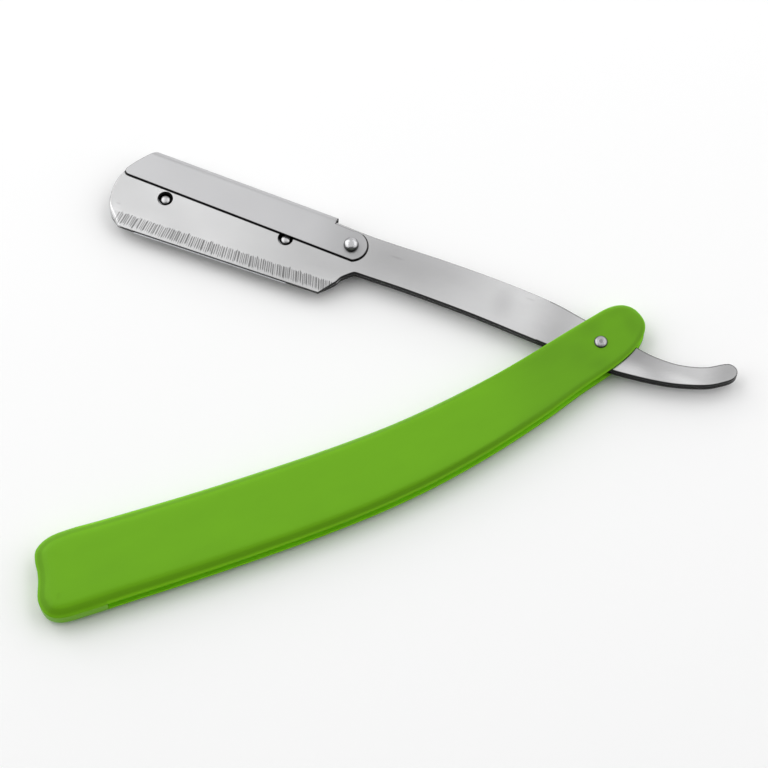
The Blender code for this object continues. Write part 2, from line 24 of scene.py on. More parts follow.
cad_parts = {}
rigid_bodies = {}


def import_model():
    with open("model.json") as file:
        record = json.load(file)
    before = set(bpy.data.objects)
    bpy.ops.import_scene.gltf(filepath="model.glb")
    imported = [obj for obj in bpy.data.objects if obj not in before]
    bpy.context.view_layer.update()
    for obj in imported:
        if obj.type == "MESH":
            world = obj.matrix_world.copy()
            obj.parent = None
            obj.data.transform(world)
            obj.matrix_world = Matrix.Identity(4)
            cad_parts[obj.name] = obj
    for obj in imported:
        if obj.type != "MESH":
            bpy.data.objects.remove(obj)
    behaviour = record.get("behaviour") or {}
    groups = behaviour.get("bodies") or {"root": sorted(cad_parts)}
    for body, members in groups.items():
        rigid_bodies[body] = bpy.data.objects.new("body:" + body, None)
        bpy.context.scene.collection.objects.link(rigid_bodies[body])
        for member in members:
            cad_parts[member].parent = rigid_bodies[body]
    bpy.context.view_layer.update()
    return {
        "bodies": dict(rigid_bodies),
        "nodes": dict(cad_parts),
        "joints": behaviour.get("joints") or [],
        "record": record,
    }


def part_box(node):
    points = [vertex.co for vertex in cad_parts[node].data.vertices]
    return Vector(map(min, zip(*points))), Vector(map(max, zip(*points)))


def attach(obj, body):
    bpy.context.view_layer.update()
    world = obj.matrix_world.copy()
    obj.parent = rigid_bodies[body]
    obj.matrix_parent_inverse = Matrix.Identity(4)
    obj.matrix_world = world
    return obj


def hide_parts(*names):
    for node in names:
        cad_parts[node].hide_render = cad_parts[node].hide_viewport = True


LOG = logging.getLogger("razor")
Floats = np.ndarray
Ints = np.ndarray
Cut = tuple[int, int]
Pair = tuple[float, float]
Triple = tuple[float, float, float]
Placing = Callable[[Floats], Floats]
Fall = Callable[[Floats], Floats]
Ripple = Callable[[Floats, Floats], Floats]
Material = bpy.types.Material
Socket = bpy.types.NodeSocket
Value = bpy.types.NodeSocket | float
CURVE_STEPS = 16
ROUND_STEPS = 5
HEAD_COLUMNS = 72
QUARTER = np.pi / 2


@dataclass(frozen=True)
class Patch:
    """A soft oval of painted shade whose middle is darker by a depth, or of painted light where the depth is
    negative.

    It fades out at its reach along x and y.
    """

    x: float
    y: float
    reach_x: float
    reach_y: float
    depth: float


ACROSS = 1.0
# Painted shade on the blade round each peg, where it shows deep in the plates' windows.
WINDOW_SHADE_REACH = (0.0032, 0.0032)
WINDOW_SHADE_DEPTH = 0.93
# Painted reflections and painted shade on the plates: soft darker bands and spots, and lighter ones where
# the depth is negative.
PLATE_REFLECTIONS_AND_SHADE = (
    Patch(-0.122, 0, 0.016, ACROSS, 0.16), Patch(-0.075, 0, 0.015, ACROSS, 0.10),
    Patch(-0.050, 0.004, 0.032, 0.015, 0.32), Patch(-0.064, -0.004, 0.014, 0.007, 0.11),
    Patch(-0.024, 0.002, 0.004, 0.006, 0.12), Patch(-0.010, 0, 0.009, ACROSS, 0.27),
    Patch(0.006, 0.001, 0.014, 0.008, 0.46), Patch(0.018, 0, 0.030, ACROSS, 0.26),
    Patch(0.0295, 0.0035, 0.007, 0.012, 0.34), Patch(0.0085, -0.0035, 0.006, 0.003, -0.30),
    Patch(0.0205, -0.0022, 0.007, 0.0022, -0.22), Patch(-0.1190, -0.0070, 0.004, 0.006, 0.14),
    Patch(-0.1166, -0.0070, 0.0036, 0.0050, -0.12), Patch(-0.1155, -0.0044, 0.0009, 0.0004, 0.14),
    Patch(-0.0505, 0.0046, 0.0025, 0.0004, 0.12), Patch(-0.0185, 0.0052, 0.0018, 0.0004, 0.10),
)
# Painted reflection band across the lock, and painted shade on the lug beside the rivet's head.
LOCK_REFLECTIONS_AND_SHADE = (Patch(-0.061, 0.004, 0.012, ACROSS, 0.20), Patch(-0.0594, 0.0024, 0.0034, 0.0034, 0.13))
# Darker patches of painted reflection on the handle's face near the pivot.
GREEN_PAINTED_REFLECTIONS = (
    Patch(-0.012, 0.0030, 0.011, 0.006, 0.07), Patch(0.006, 0.0055, 0.006, 0.0022, 0.08),
    Patch(-0.006, -0.0030, 0.006, 0.004, 0.05), Patch(-0.0008, 0.0044, 0.0050, 0.0035, 0.12),
    Patch(0.0085, 0.0010, 0.0030, 0.0060, 0.10), Patch(-0.0023, -0.0047, 0.0040, 0.0025, 0.09),
    Patch(-0.0053, -0.0003, 0.0040, 0.0030, 0.06),
)


class Side(Enum):
    """Which way a flat piece's outer face looks."""

    FRONT = 1
    REAR = -1


class Slot(Enum):
    """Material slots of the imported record."""

    PLASTIC = "green_plastic"
    PLATE = "plate_steel"
    LOCK = "lock_steel"
    BLADE = "blade_steel"
    RIVET = "rivet_steel"
    WASHER = "washer_brass"


# Curves and outlines in the plane


def smooth_run(points: Sequence[Sequence[float]], closed: bool = False) -> Floats:
    """Sample the Catmull-Rom curve through some points.

    Each span is half of (2b + t(c - a) + t^2(2a - 5b + 4c - d) + t^3(3b - a - 3c + d)), where b and c
    are its ends, a and d the points before and after it, and t runs from 0 to 1.

    Args:
        points: the points, in order.
        closed: whether the last point leads back to the first.

    Returns:
        The sampled points, one a row.
    """
    knots = np.asarray(points, float)
    count = len(knots)
    index = np.arange(count if closed else count - 1)[:, None] + np.array([-1, 0, 1, 2])
    index = index % count if closed else np.clip(index, 0, count - 1)
    a, b, c, d = (knots[index[:, column]][:, None, :] for column in range(4))
    t = (np.arange(CURVE_STEPS) / CURVE_STEPS)[None, :, None]
    run = b + (t * (c - a) + t**2 * (2 * a - 5 * b + 4 * c - d) + t**3 * (3 * b - a - 3 * c + d)) / 2
    run = run.reshape(-1, knots.shape[1])
    return run if closed else np.vstack([run, knots[-1:]])


def even_run(run: Floats, count: int) -> Floats:
    """Return points spaced evenly along a run by its length, both ends included.

    Args:
        run: the run, one point a row.
        count: how many spans the result has.

    Returns:
        The new points, count + 1 rows.
    """
    reach = np.concatenate([[0.0], np.cumsum(np.linalg.norm(np.diff(run, axis=0), axis=1))])
    stops = np.linspace(0, reach[-1], count + 1)
    return np.column_stack([np.interp(stops, reach, column) for column in run.T])


def spaced_run(run: Floats, spacing: float) -> Floats:
    """Return points about one spacing apart along a run, both ends included."""
    length = np.linalg.norm(np.diff(run, axis=0), axis=1).sum()
    return even_run(run, max(int(np.ceil(length / spacing)), 1))


def joined(*runs: Floats) -> Floats:
    """Join runs that each start where the last one ended into a closed outline, with no point doubled."""
    return np.vstack([run[:-1] for run in runs])


def arc(centre: Sequence[float], radius: float, start: float, end: float, steps: int) -> Floats:
    """Sample an arc between two angles given in degrees: centre + radius (cos, sin)."""
    angles = np.radians(np.linspace(start, end, steps + 1))
    return np.asarray(centre, float) + radius * np.column_stack([np.cos(angles), np.sin(angles)])


def split_at(run: Floats, value: float, axis: int = 0) -> tuple[Floats, Floats]:
    """Split a run where one of its coordinates first crosses a value, with the crossing in both parts.

    Args:
        run: the run, one point a row.
        value: the value to cross.
        axis: the coordinate.

    Returns:
        The part before the crossing and the part after it.
    """
    gap = run[:, axis] - value
    index = int(np.nonzero(gap[:-1] * gap[1:] <= 0)[0][0]) + 1
    share = gap[index - 1] / (gap[index - 1] - gap[index])
    crossing = run[index - 1] + share * (run[index] - run[index - 1])
    return np.vstack([run[:index], crossing]), np.vstack([crossing, run[index:]])


def inward(outline: Floats) -> Floats:
    """Return how far each point of an anticlockwise outline moves for one unit of inset.

    With n1 and n2 the inward normals of the two sides that meet at a point, this is (n1 + n2) divided by
    (1 + n1.n2). For a clockwise outline, such as a hole's, it leads away from the hole's centre.
    """
    ahead = np.roll(outline, -1, axis=0) - outline
    ahead = ahead / np.linalg.norm(ahead, axis=1, keepdims=True)
    after = np.column_stack([-ahead[:, 1], ahead[:, 0]])
    before = np.roll(after, 1, axis=0)
    return (after + before) / (1 + (after * before).sum(axis=1, keepdims=True))


def ring_faces(rings: int, count: int, start: int = 0, looped: bool = False) -> Ints:
    """Return the quads between neighbouring closed rings of points numbered ring by ring.

    Args:
        rings: how many rings there are.
        count: how many points each ring has.
        start: the number of the first point.
        looped: whether the last ring leads back to the first.

    Returns:
        Four point numbers a row, anticlockwise where the rings run rightwards and follow upwards.
    """
    ring = np.arange(rings if looped else rings - 1)[:, None]
    here = np.arange(count)[None, :]
    after = (here + 1) % count
    low, high = ring * count, (ring + 1) % rings * count
    quads = np.stack([low + here, low + after, high + after, high + here], axis=-1)
    return quads.reshape(-1, 4) + start


def fill(points: Floats, outer: Ints, holes: Sequence[Ints]) -> Ints:
    """Fill a flat outline, less its holes, with triangles that face +Z.

    Args:
        points: all the points, their first two coordinates in the plane.
        outer: the numbers of the outline's points.
        holes: the numbers of each hole's points.

    Returns:
        Three point numbers a row.
    """
    loops = [outer, *holes]
    numbers = np.concatenate(loops)
    flat = [[Vector((*points[number, :2], 0)) for number in loop] for loop in loops]
    triangles = numbers[np.array(tessellate_polygon(flat))]
    first, second, third = (points[triangles[:, corner], :2] for corner in range(3))
    side, other = second - first, third - first
    flipped = side[:, 0] * other[:, 1] < side[:, 1] * other[:, 0]
    triangles[flipped] = triangles[flipped][:, ::-1]
    return triangles


@dataclass
class Shell:
    """Points, faces and named values at the points of one piece, before it becomes a mesh."""

    points: Floats
    faces: list[Ints]
    values: dict[str, Floats] = field(default_factory=dict)

    def turned_over(self) -> "Shell":
        """Return the shell mirrored in the plane z = 0, its faces still pointing outwards."""
        mirrored = self.points * np.array([1, 1, -1])
        return Shell(mirrored, [group[:, ::-1] for group in self.faces], self.values)

    def moved(self, placing: Placing) -> "Shell":
        """Return the shell with its points passed through a function."""
        return Shell(placing(self.points), self.faces, self.values)

    def mesh(self, name: str, sharp_angle: float = 32.0) -> bpy.types.Mesh:
        """Return the shell as a mesh, shaded smooth except where it turns by more than an angle.

        Args:
            name: the mesh's name.
            sharp_angle: the angle, in degrees.

        Returns:
            The mesh, with the named values as point attributes.
        """
        mesh = bpy.data.meshes.new(name)
        faces = [face for group in self.faces for face in group.tolist()]
        mesh.from_pydata(self.points.tolist(), [], faces)
        for key, value in self.values.items():
            mesh.attributes.new(key, "FLOAT", "POINT").data.foreach_set("value", value.astype(np.float32))
        mesh.validate()
        mesh.shade_smooth()
        mesh.set_sharp_from_angle(angle=np.radians(sharp_angle))
        return mesh


@dataclass
class Slab:
    """A flat piece: a rim profile carried along its outline and round its holes, closed by two flat faces.

    The profile is a quarter round at the lower face, a straight wall and a quarter round at the upper
    face. Just inside each round lies one more ring, so that the faces are shaded flat right up to their
    edges. The value rim_share, which marks the walls for painted shade, fades out between the upper round
    and that ring.
    """

    outline: Floats
    low: float
    high: float
    rim: float
    holes: list[Floats] = field(default_factory=list)
    cuts: list[Cut] = field(default_factory=list)
    hole_parts: list[int] = field(default_factory=list)
    upper_rim: Floats | None = None
    upper_fall: Fall | None = None
    lower_fall: Fall | None = None
    edge_reach: float = 0.00016
    edge_share: float = 0.45
    lower_ring_rims: float = 1.25
    widest_wall_rims: float = 1.5

    def ring_stack(self, loop: Floats, upper_rim: Floats) -> tuple[Floats, Floats]:
        """Carry the rim profile along one loop.

        With a running from 0 to a right angle, the lower round lies at inset r(1 - sin a) and height
        r(1 - cos a), and the upper one at inset R(1 - cos a) and height R(1 - sin a) below the upper face.

        Args:
            loop: the loop, with the piece on its left.
            upper_rim: the upper round's radius R at each of its points.

        Returns:
            The points, ring by ring, and how much each belongs to the wall, from 0 to 1.
        """
        angle = np.linspace(0, QUARTER, ROUND_STEPS + 1)[:, None]
        lower = np.full(len(loop), self.rim)
        insets = [lower * self.lower_ring_rims, lower * (1 - np.sin(angle))]
        insets = np.vstack([*insets, upper_rim * (1 - np.cos(angle)), upper_rim + self.edge_reach])
        flat = loop[None] + insets[..., None] * inward(loop)[None]
        level = np.zeros(flat.shape[:2])
        top = self.high - (self.upper_fall(flat) if self.upper_fall else level)
        bottom = self.low + (self.lower_fall(flat) if self.lower_fall else level)
        count = ROUND_STEPS + 2
        heights = np.vstack([bottom[:count], top[count:]])
        heights[1:count] += lower * (1 - np.cos(angle))
        heights[count:-1] -= upper_rim * (1 - np.sin(angle))
        wall = np.zeros(flat.shape[:2])
        wall[1:count] = np.sin(angle) ** 2
        narrowing = np.minimum(self.widest_wall_rims * self.rim / upper_rim, 1)
        # The upper round keeps at least edge_share of the walls' painted shade, a dark line along each edge.
        wall[count:-1] = np.maximum(np.cos(angle) ** 2, self.edge_share) * narrowing
        return np.concatenate([flat, heights[..., None]], axis=-1).reshape(-1, 3), wall.ravel()

    def shell(self) -> Shell:
        """Return the surface, with the values rim_share on its walls and inner_share on its lower face."""
        stacks, walls, inner, faces, lower_loops, upper_loops = [], [], [], [], [], []
        start = 0
        for index, loop in enumerate([self.outline, *self.holes]):
            own = np.full(len(loop), self.rim)
            if index == 0 and self.upper_rim is not None:
                own = self.upper_rim
            points, wall = self.ring_stack(loop, own)
            rings = len(points) // len(loop)
            faces.append(ring_faces(rings, len(loop), start))
            lower_loops.append(np.arange(len(loop)) + start)
            upper_loops.append(lower_loops[-1] + (rings - 1) * len(loop))
            stacks.append(points)
            walls.append(wall)
            inner.append(np.arange(len(points)) < len(loop))
            start += len(points)
        points = np.vstack(stacks)
        for loops, flip in ((upper_loops, False), (lower_loops, True)):
            for part, ring in enumerate(self.parts(loops[0])):
                holes = [hole for hole, place in zip(loops[1:], self.hole_parts) if place == part]
                triangles = fill(points, ring, holes)
                faces.append(triangles[:, ::-1] if flip else triangles)
        values = {"rim_share": np.concatenate(walls), "inner_share": np.concatenate(inner)}
        return Shell(points, faces, values)

    def parts(self, ring: Ints) -> list[Ints]:
        """Split a face's ring along the cuts.

        Args:
            ring: the ring's point numbers.

        Returns:
            The outer part, the parts between neighbouring cuts, and the part inside the last cut.
        """
        if not self.cuts:
            return [ring]
        first, last = self.cuts[0], self.cuts[-1]
        found = [np.concatenate([ring[first[1]:], ring[: first[0] + 1]])]
        for (near_start, near_end), (start, end) in zip(self.cuts, self.cuts[1:]):
            found.append(np.concatenate([ring[near_start : start + 1], ring[end : near_end + 1]]))
        found.append(ring[last[0] : last[1] + 1])
        return found


def about_axis(profile: Floats, steps: int, ripple: Ripple | None = None) -> Floats:
    """Return the points of a profile turned about Z: (r cos a, r sin a, z), ring by ring.

    Args:
        profile: radius r and height z, one point a row.
        steps: how many points each ring has, with a going once round the axis.
        ripple: a height to add, given the radius and the angle.

    Returns:
        The points, one a row.
    """
    radius, height = profile[:, 0, None], profile[:, 1, None]
    angle = np.linspace(0, 2 * np.pi, steps, endpoint=False)[None, :]
    if ripple:
        height = height + ripple(radius, angle)
    parts = np.broadcast_arrays(radius * np.cos(angle), radius * np.sin(angle), height)
    return np.stack(parts, axis=-1).reshape(-1, 3)


def turned(profile: Floats, steps: int = 64, ripple: Ripple | None = None) -> Shell:
    """Turn a profile about Z, with a point at each pole.

    Args:
        profile: radius and height, from the upper pole down to the lower pole.
        steps: how many points each ring has.
        ripple: a height to add, given the radius and the angle.

    Returns:
        The closed surface, with the value out_share: each point's radius as a share of the largest.
    """
    rings = profile[1:-1]
    poles = [[0, 0, profile[0, 1]], [0, 0, profile[-1, 1]]]
    points = np.vstack([about_axis(rings, steps, ripple), poles])
    out_share = np.append(np.repeat(rings[:, 0] / rings[:, 0].max(), steps), [0, 0])
    here = np.arange(steps)
    after = (here + 1) % steps
    last = (len(rings) - 1) * steps
    upper = np.column_stack([here, after, np.full(steps, len(points) - 2)])
    lower = np.column_stack([after + last, here + last, np.full(steps, len(points) - 1)])
    faces = [ring_faces(len(rings), steps)[:, ::-1], upper, lower]
    return Shell(points, faces, {"out_share": out_share})


def turned_ring(profile: Floats, steps: int = 64) -> Shell:
    """Turn a closed profile about Z into a ring.

    Args:
        profile: radius and height, down the ring's outer side and up its bore, with no point doubled.
        steps: how many points each ring has.

    Returns:
        The closed surface.
    """
    faces = ring_faces(len(profile), steps, looped=True)[:, ::-1]
    return Shell(about_axis(profile, steps), [faces])


def two_headed(head: Floats, shank: float, seat: float) -> Floats:
    """Return the profile of a pin with the same head at both ends.

    Args:
        head: the upper head's radius and height, from its pole to its rim.
        shank: the shank's radius.
        seat: the height of the upper head's underside.

    Returns:
        Radius and height, from the upper pole down to the lower pole.
    """
    head = head.copy()
    head[0, 0] = 0
    return np.vstack([head, [[shank, seat], [shank, -seat]], head[::-1] * [1, -1]])


@dataclass(frozen=True)
class FlatFrame:
    """A flat frame on the pivot: its origin, and how far it is turned about Z, in radians."""

    origin: Floats
    turn: float

    def place(self, points: Floats) -> Floats:
        """Return points of this frame in the row frame."""
        cosine, sine = np.cos(self.turn), np.sin(self.turn)
        x, y, z = points.T
        return np.column_stack([x * cosine - y * sine, x * sine + y * cosine, z]) + self.origin

    def shifted(self, x: float, y: float) -> Placing:
        """Return the placing of a piece made about an axis that stands at a point of this frame."""
        return lambda points: self.place(points + np.array([x, y, 0.0]))


def add_piece(name: str, mesh: bpy.types.Mesh, body: str, node: str, finish: Material) -> None:
    """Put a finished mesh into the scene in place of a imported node.

    Args:
        name: the piece's name.
        mesh: its mesh, in the row frame.
        body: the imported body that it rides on.
        node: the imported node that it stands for.
        finish: its material.
    """
    piece = bpy.data.objects.new(name, mesh)
    bpy.context.scene.collection.objects.link(piece)
    mesh.materials.append(finish)
    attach(piece, body)
    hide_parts(node)
    LOG.info("%s: %d faces, rides on %s", name, len(mesh.polygons), body)


def mesh_points(mesh: bpy.types.Mesh) -> Floats:
    """Return a mesh's points, one a row."""
    points = np.empty(len(mesh.vertices) * 3)
    mesh.vertices.foreach_get("co", points)
    return points.reshape(-1, 3)


def half_height(node: str, origin: Floats) -> tuple[float, float]:
    """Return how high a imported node's lowest and highest corners lie over the pivot's middle."""
    low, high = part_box(node)
    return low.z - origin[2], high.z - origin[2]


# Sub-assemblies


@dataclass
class Handle:
    """Handle of one moulding: two scales joined by a solid butt, with a slot right through between them."""

    frame: FlatFrame
    width: float = 0.0175
    reach: float = 0.1376
    pivot_end_reach: float = 0.0114
    slot_end: float = -0.1239
    slot_half_at_pivot: float = 0.00145
    slot_half_at_holder: float = 0.00133
    pivot_half: float = 0.0026
    pivot_flat_reach: float = 0.0060
    taper_reach: float = 0.0520
    crown: float = 0.00006
    crown_reach: float = 0.0022
    round_depth_most: float = 0.0016
    round_power: float = 1.6
    slot_rim: float = 0.00032
    bore_radius: float = 0.00102
    overrun: float = 0.0020
    sharp_angle: float = 50.0
    round_share_at_pivot: float = 0.55
    round_steps: int = 11
    crown_steps: int = 5
    rim_steps: int = 3
    slot_stations: int = 190
    butt_stations: int = 34
    columns: int = 14
    round_reach_shares: tuple[Pair, ...] = (
        (0.0, 0.070), (0.23, 0.088), (0.36, 0.104), (0.58, 0.126), (0.85, 0.156), (1.0, 0.160),
    )
    body_shares: tuple[Pair, ...] = (
        (0.000, 0.375), (0.051, 0.307), (0.116, 0.214), (0.184, 0.133), (0.264, 0.067), (0.334, 0.029),
        (0.400, 0.018), (0.480, 0.032), (0.570, 0.069), (0.710, 0.149), (0.850, 0.257), (0.915, 0.315),
        (0.950, 0.307), (0.973, 0.216), (0.981, 0.080), (0.984, -0.070), (0.989, -0.200),
        (0.997, -0.350), (1.000, -0.475), (0.994, -0.645), (0.975, -0.744), (0.940, -0.779),
        (0.880, -0.813), (0.800, -0.859), (0.690, -0.913), (0.580, -0.951), (0.480, -0.963),
        (0.400, -0.944), (0.320, -0.891), (0.225, -0.780), (0.131, -0.625), (0.0625, -0.483),
        (0.000, -0.374),
    )
    pivot_end_shares: tuple[Pair, ...] = (
        (0.425, -0.287), (0.706, -0.189), (0.917, -0.067), (1.000, 0.069), (0.957, 0.229), (0.853, 0.331),
        (0.690, 0.395), (0.430, 0.416),
    )

    def sides(self) -> tuple[Floats, Floats]:
        """Return the far side and the near side, station by station from the pivot's end to the butt's."""
        body = np.array(self.body_shares) * [-self.reach, self.width]
        pivot_end = np.array(self.pivot_end_shares) * [self.pivot_end_reach, self.width]
        loop = smooth_run(np.vstack([body, pivot_end]), closed=True)
        loop = np.roll(loop, -int(np.argmax(loop[:, 0])), axis=0)
        butt = int(np.argmin(loop[:, 0]))
        found = []
        for run in (loop[: butt + 1], np.vstack([loop[butt:], loop[:1]])[::-1]):
            slotted, solid = split_at(run, self.slot_end)
            slotted = even_run(slotted, self.slot_stations)
            found.append(np.vstack([slotted[:-1], even_run(solid, self.butt_stations)]))
        return found[0], found[1]

    def taper(self, x: Floats) -> Floats:
        """Return 0 near the pivot, 1 past the taper, and a straight rise between them."""
        return np.clip((-x - self.pivot_flat_reach) / (self.taper_reach - self.pivot_flat_reach), 0, 1)

    def shell(self, half: float) -> tuple[Shell, list[tuple[int, int]]]:
        """Work out the surface of both scales and the butt.

        A ring profile is carried inwards from the outline: from the slot's rim up the wall, over an edge
        that falls b (1 - d / a)^p below the face at inset d = a(1 - cos t), and on to a face that still
        rises by crown (1 - (1 - d / D)^2) over its first stretch D. Straight lines between the two sides
        fill the face.

        Args:
            half: half of the handle's full thickness.

        Returns:
            The closed surface, and the point pairs of the slot's edges.
        """
        far, near = self.sides()
        slot = self.slot_stations
        ring = np.vstack([far, near[-2:0:-1]])
        count = len(ring)
        taper = self.taper(ring[:, 0])
        share_reach, share_round = np.array(self.round_reach_shares).T
        round_reach = np.interp(-ring[:, 0] / self.reach, share_reach, share_round) * self.width
        fullness = self.round_share_at_pivot + (1 - self.round_share_at_pivot) * taper
        round_depth = np.minimum(round_reach, self.round_depth_most) * fullness
        turn = np.linspace(0, QUARTER, self.round_steps + 1)[:, None]
        past = np.linspace(0, 1, self.crown_steps + 1)[1:, None] * self.crown_reach
        inset = np.vstack([np.zeros((1, count)), round_reach * (1 - np.cos(turn)), round_reach + past])
        drop = np.vstack([round_depth * np.cos(turn) ** self.round_power, np.zeros((len(past), count))])
        flat = ring[None] + inset[..., None] * inward(ring)[None]

        def face_height(x: Floats, depth: Floats | float) -> Floats:
            """Height of the crowned face, given x and how far in it lies from the round."""
            thick = self.pivot_half + (half - self.pivot_half) * self.taper(x)
            return thick - self.crown * (1 - np.clip(depth / self.crown_reach, 0, 1)) ** 2

        slot_half = self.slot_half_at_pivot + (self.slot_half_at_holder - self.slot_half_at_pivot) * taper
        face_rise = face_height(flat[1:, :, 0], (inset - round_reach)[1:]) - drop
        rings = np.concatenate([flat, np.vstack([slot_half[None], face_rise])[..., None]], axis=-1)
        across = np.linspace(0, 1, self.columns + 1)[None, 1:-1, None]
        near_index = (count - np.arange(slot + 1)) % count

        def between(ring_points: Floats) -> Floats:
            """Points of the straight lines from a ring's far side to its near side, without their ends."""
            start, end = ring_points[1 : slot + 1, None], ring_points[near_index[1:], None]
            return start + across * (end - start)

        face, wall = between(rings[-1]), between(rings[0])
        face[..., 2] = face_height(face[..., 0], self.crown_reach)
        points = np.vstack([rings.reshape(-1, 3), face.reshape(-1, 3), wall.reshape(-1, 3)])

        def lattice(ring_start: int, start: int) -> Ints:
            """Number the points of a face that spans the two sides: a station a row, far side first."""
            grid = np.empty((slot + 1, self.columns + 1), int)
            grid[:, 0] = ring_start + np.arange(slot + 1)
            grid[:, -1] = ring_start + near_index
            grid[1:, 1:-1] = start + np.arange(slot * (self.columns - 1)).reshape(slot, -1)
            grid[0, :] = grid[0, 0]
            return grid

        def span(grid: Ints) -> list[Ints]:
            """Return the faces of such a lattice, with triangles where it starts from one point."""
            body = grid[1:]
            corners = [body[:-1, :-1], body[1:, :-1], body[1:, 1:], body[:-1, 1:]]
            tip = np.full(self.columns, grid[0, 0])
            triangles = np.column_stack([tip, grid[1, :-1], grid[1, 1:]])
            return [np.stack(corners, axis=-1).reshape(-1, 4), triangles]

        ring_total = len(rings) * count
        outer = lattice(ring_total - count, ring_total)
        inner = lattice(0, ring_total + len(face) * (self.columns - 1))
        butt_ring = np.arange(slot, count - slot + 1) + ring_total - count
        butt_face = fill(points, np.concatenate([butt_ring, outer[-1, 1:-1][::-1]]), [])
        upper = [ring_faces(len(rings), count), *span(outer), butt_face]
        upper += [group[:, ::-1] for group in span(inner)]
        shift = len(points)
        faces = upper + [group[:, ::-1] + shift for group in upper]
        butt = np.arange(slot, count - slot)
        faces.append(np.column_stack([butt + shift, butt + 1 + shift, butt + 1, butt]))
        end = inner[-1]
        faces.append(np.column_stack([end[:-1], end[1:], end[1:] + shift, end[:-1] + shift]))
        edges = [(i, (i + 1) % count) for i in [*range(slot), *range(count - slot, count)]]
        edges += [(a + shift, b + shift) for a, b in edges]
        edges += [(i, i + shift) for i in (slot, count - slot)]
        return Shell(np.vstack([points, points * np.array([1, 1, -1])]), faces), edges

    def build(self, green: Material) -> None:
        """Make the handle: round the slot's edges, bore both scales for the pin, and put it in place."""
        _, half = half_height("handle", self.frame.origin)
        shell, edges = self.shell(half)
        mesh = shell.mesh("handle_moulding", self.sharp_angle)
        work = bmesh.new()
        work.from_mesh(mesh)
        work.verts.ensure_lookup_table()
        chosen = [work.edges.get((work.verts[a], work.verts[b])) for a, b in edges]
        rounding = {"offset": self.slot_rim, "segments": self.rim_steps, "profile": 0.5, "affect": "EDGES"}
        bmesh.ops.bevel(work, geom=chosen, **rounding)
        work.to_mesh(mesh)
        work.free()
        mesh = bored(mesh, self.bore_radius, 2 * (half + self.overrun))
        mesh.set_sharp_from_angle(angle=np.radians(self.sharp_angle))
        mesh.vertices.foreach_set("co", self.frame.place(mesh_points(mesh)).ravel())
        add_piece("handle_moulding", mesh, "handle", "handle", green)


def bored(mesh: bpy.types.Mesh, radius: float, length: float, steps: int = 48) -> bpy.types.Mesh:
    """Return a mesh with a round hole along Z through its origin."""
    profile = np.array([[0, length / 2], [radius, length / 2], [radius, -length / 2], [0, -length / 2]])
    cutter = bpy.data.objects.new("bore", turned(profile, steps).mesh("bore"))
    piece = bpy.data.objects.new("bored", mesh)
    for item in (cutter, piece):
        bpy.context.scene.collection.objects.link(item)
    boolean = piece.modifiers.new("bore", "BOOLEAN")
    boolean.solver = "EXACT"
    boolean.object = cutter
    bpy.context.view_layer.update()
    result = bpy.data.meshes.new_from_object(piece.evaluated_get(bpy.context.evaluated_depsgraph_get()))
    for item in (cutter, piece):
        bpy.data.objects.remove(item, do_unlink=True)
    return result


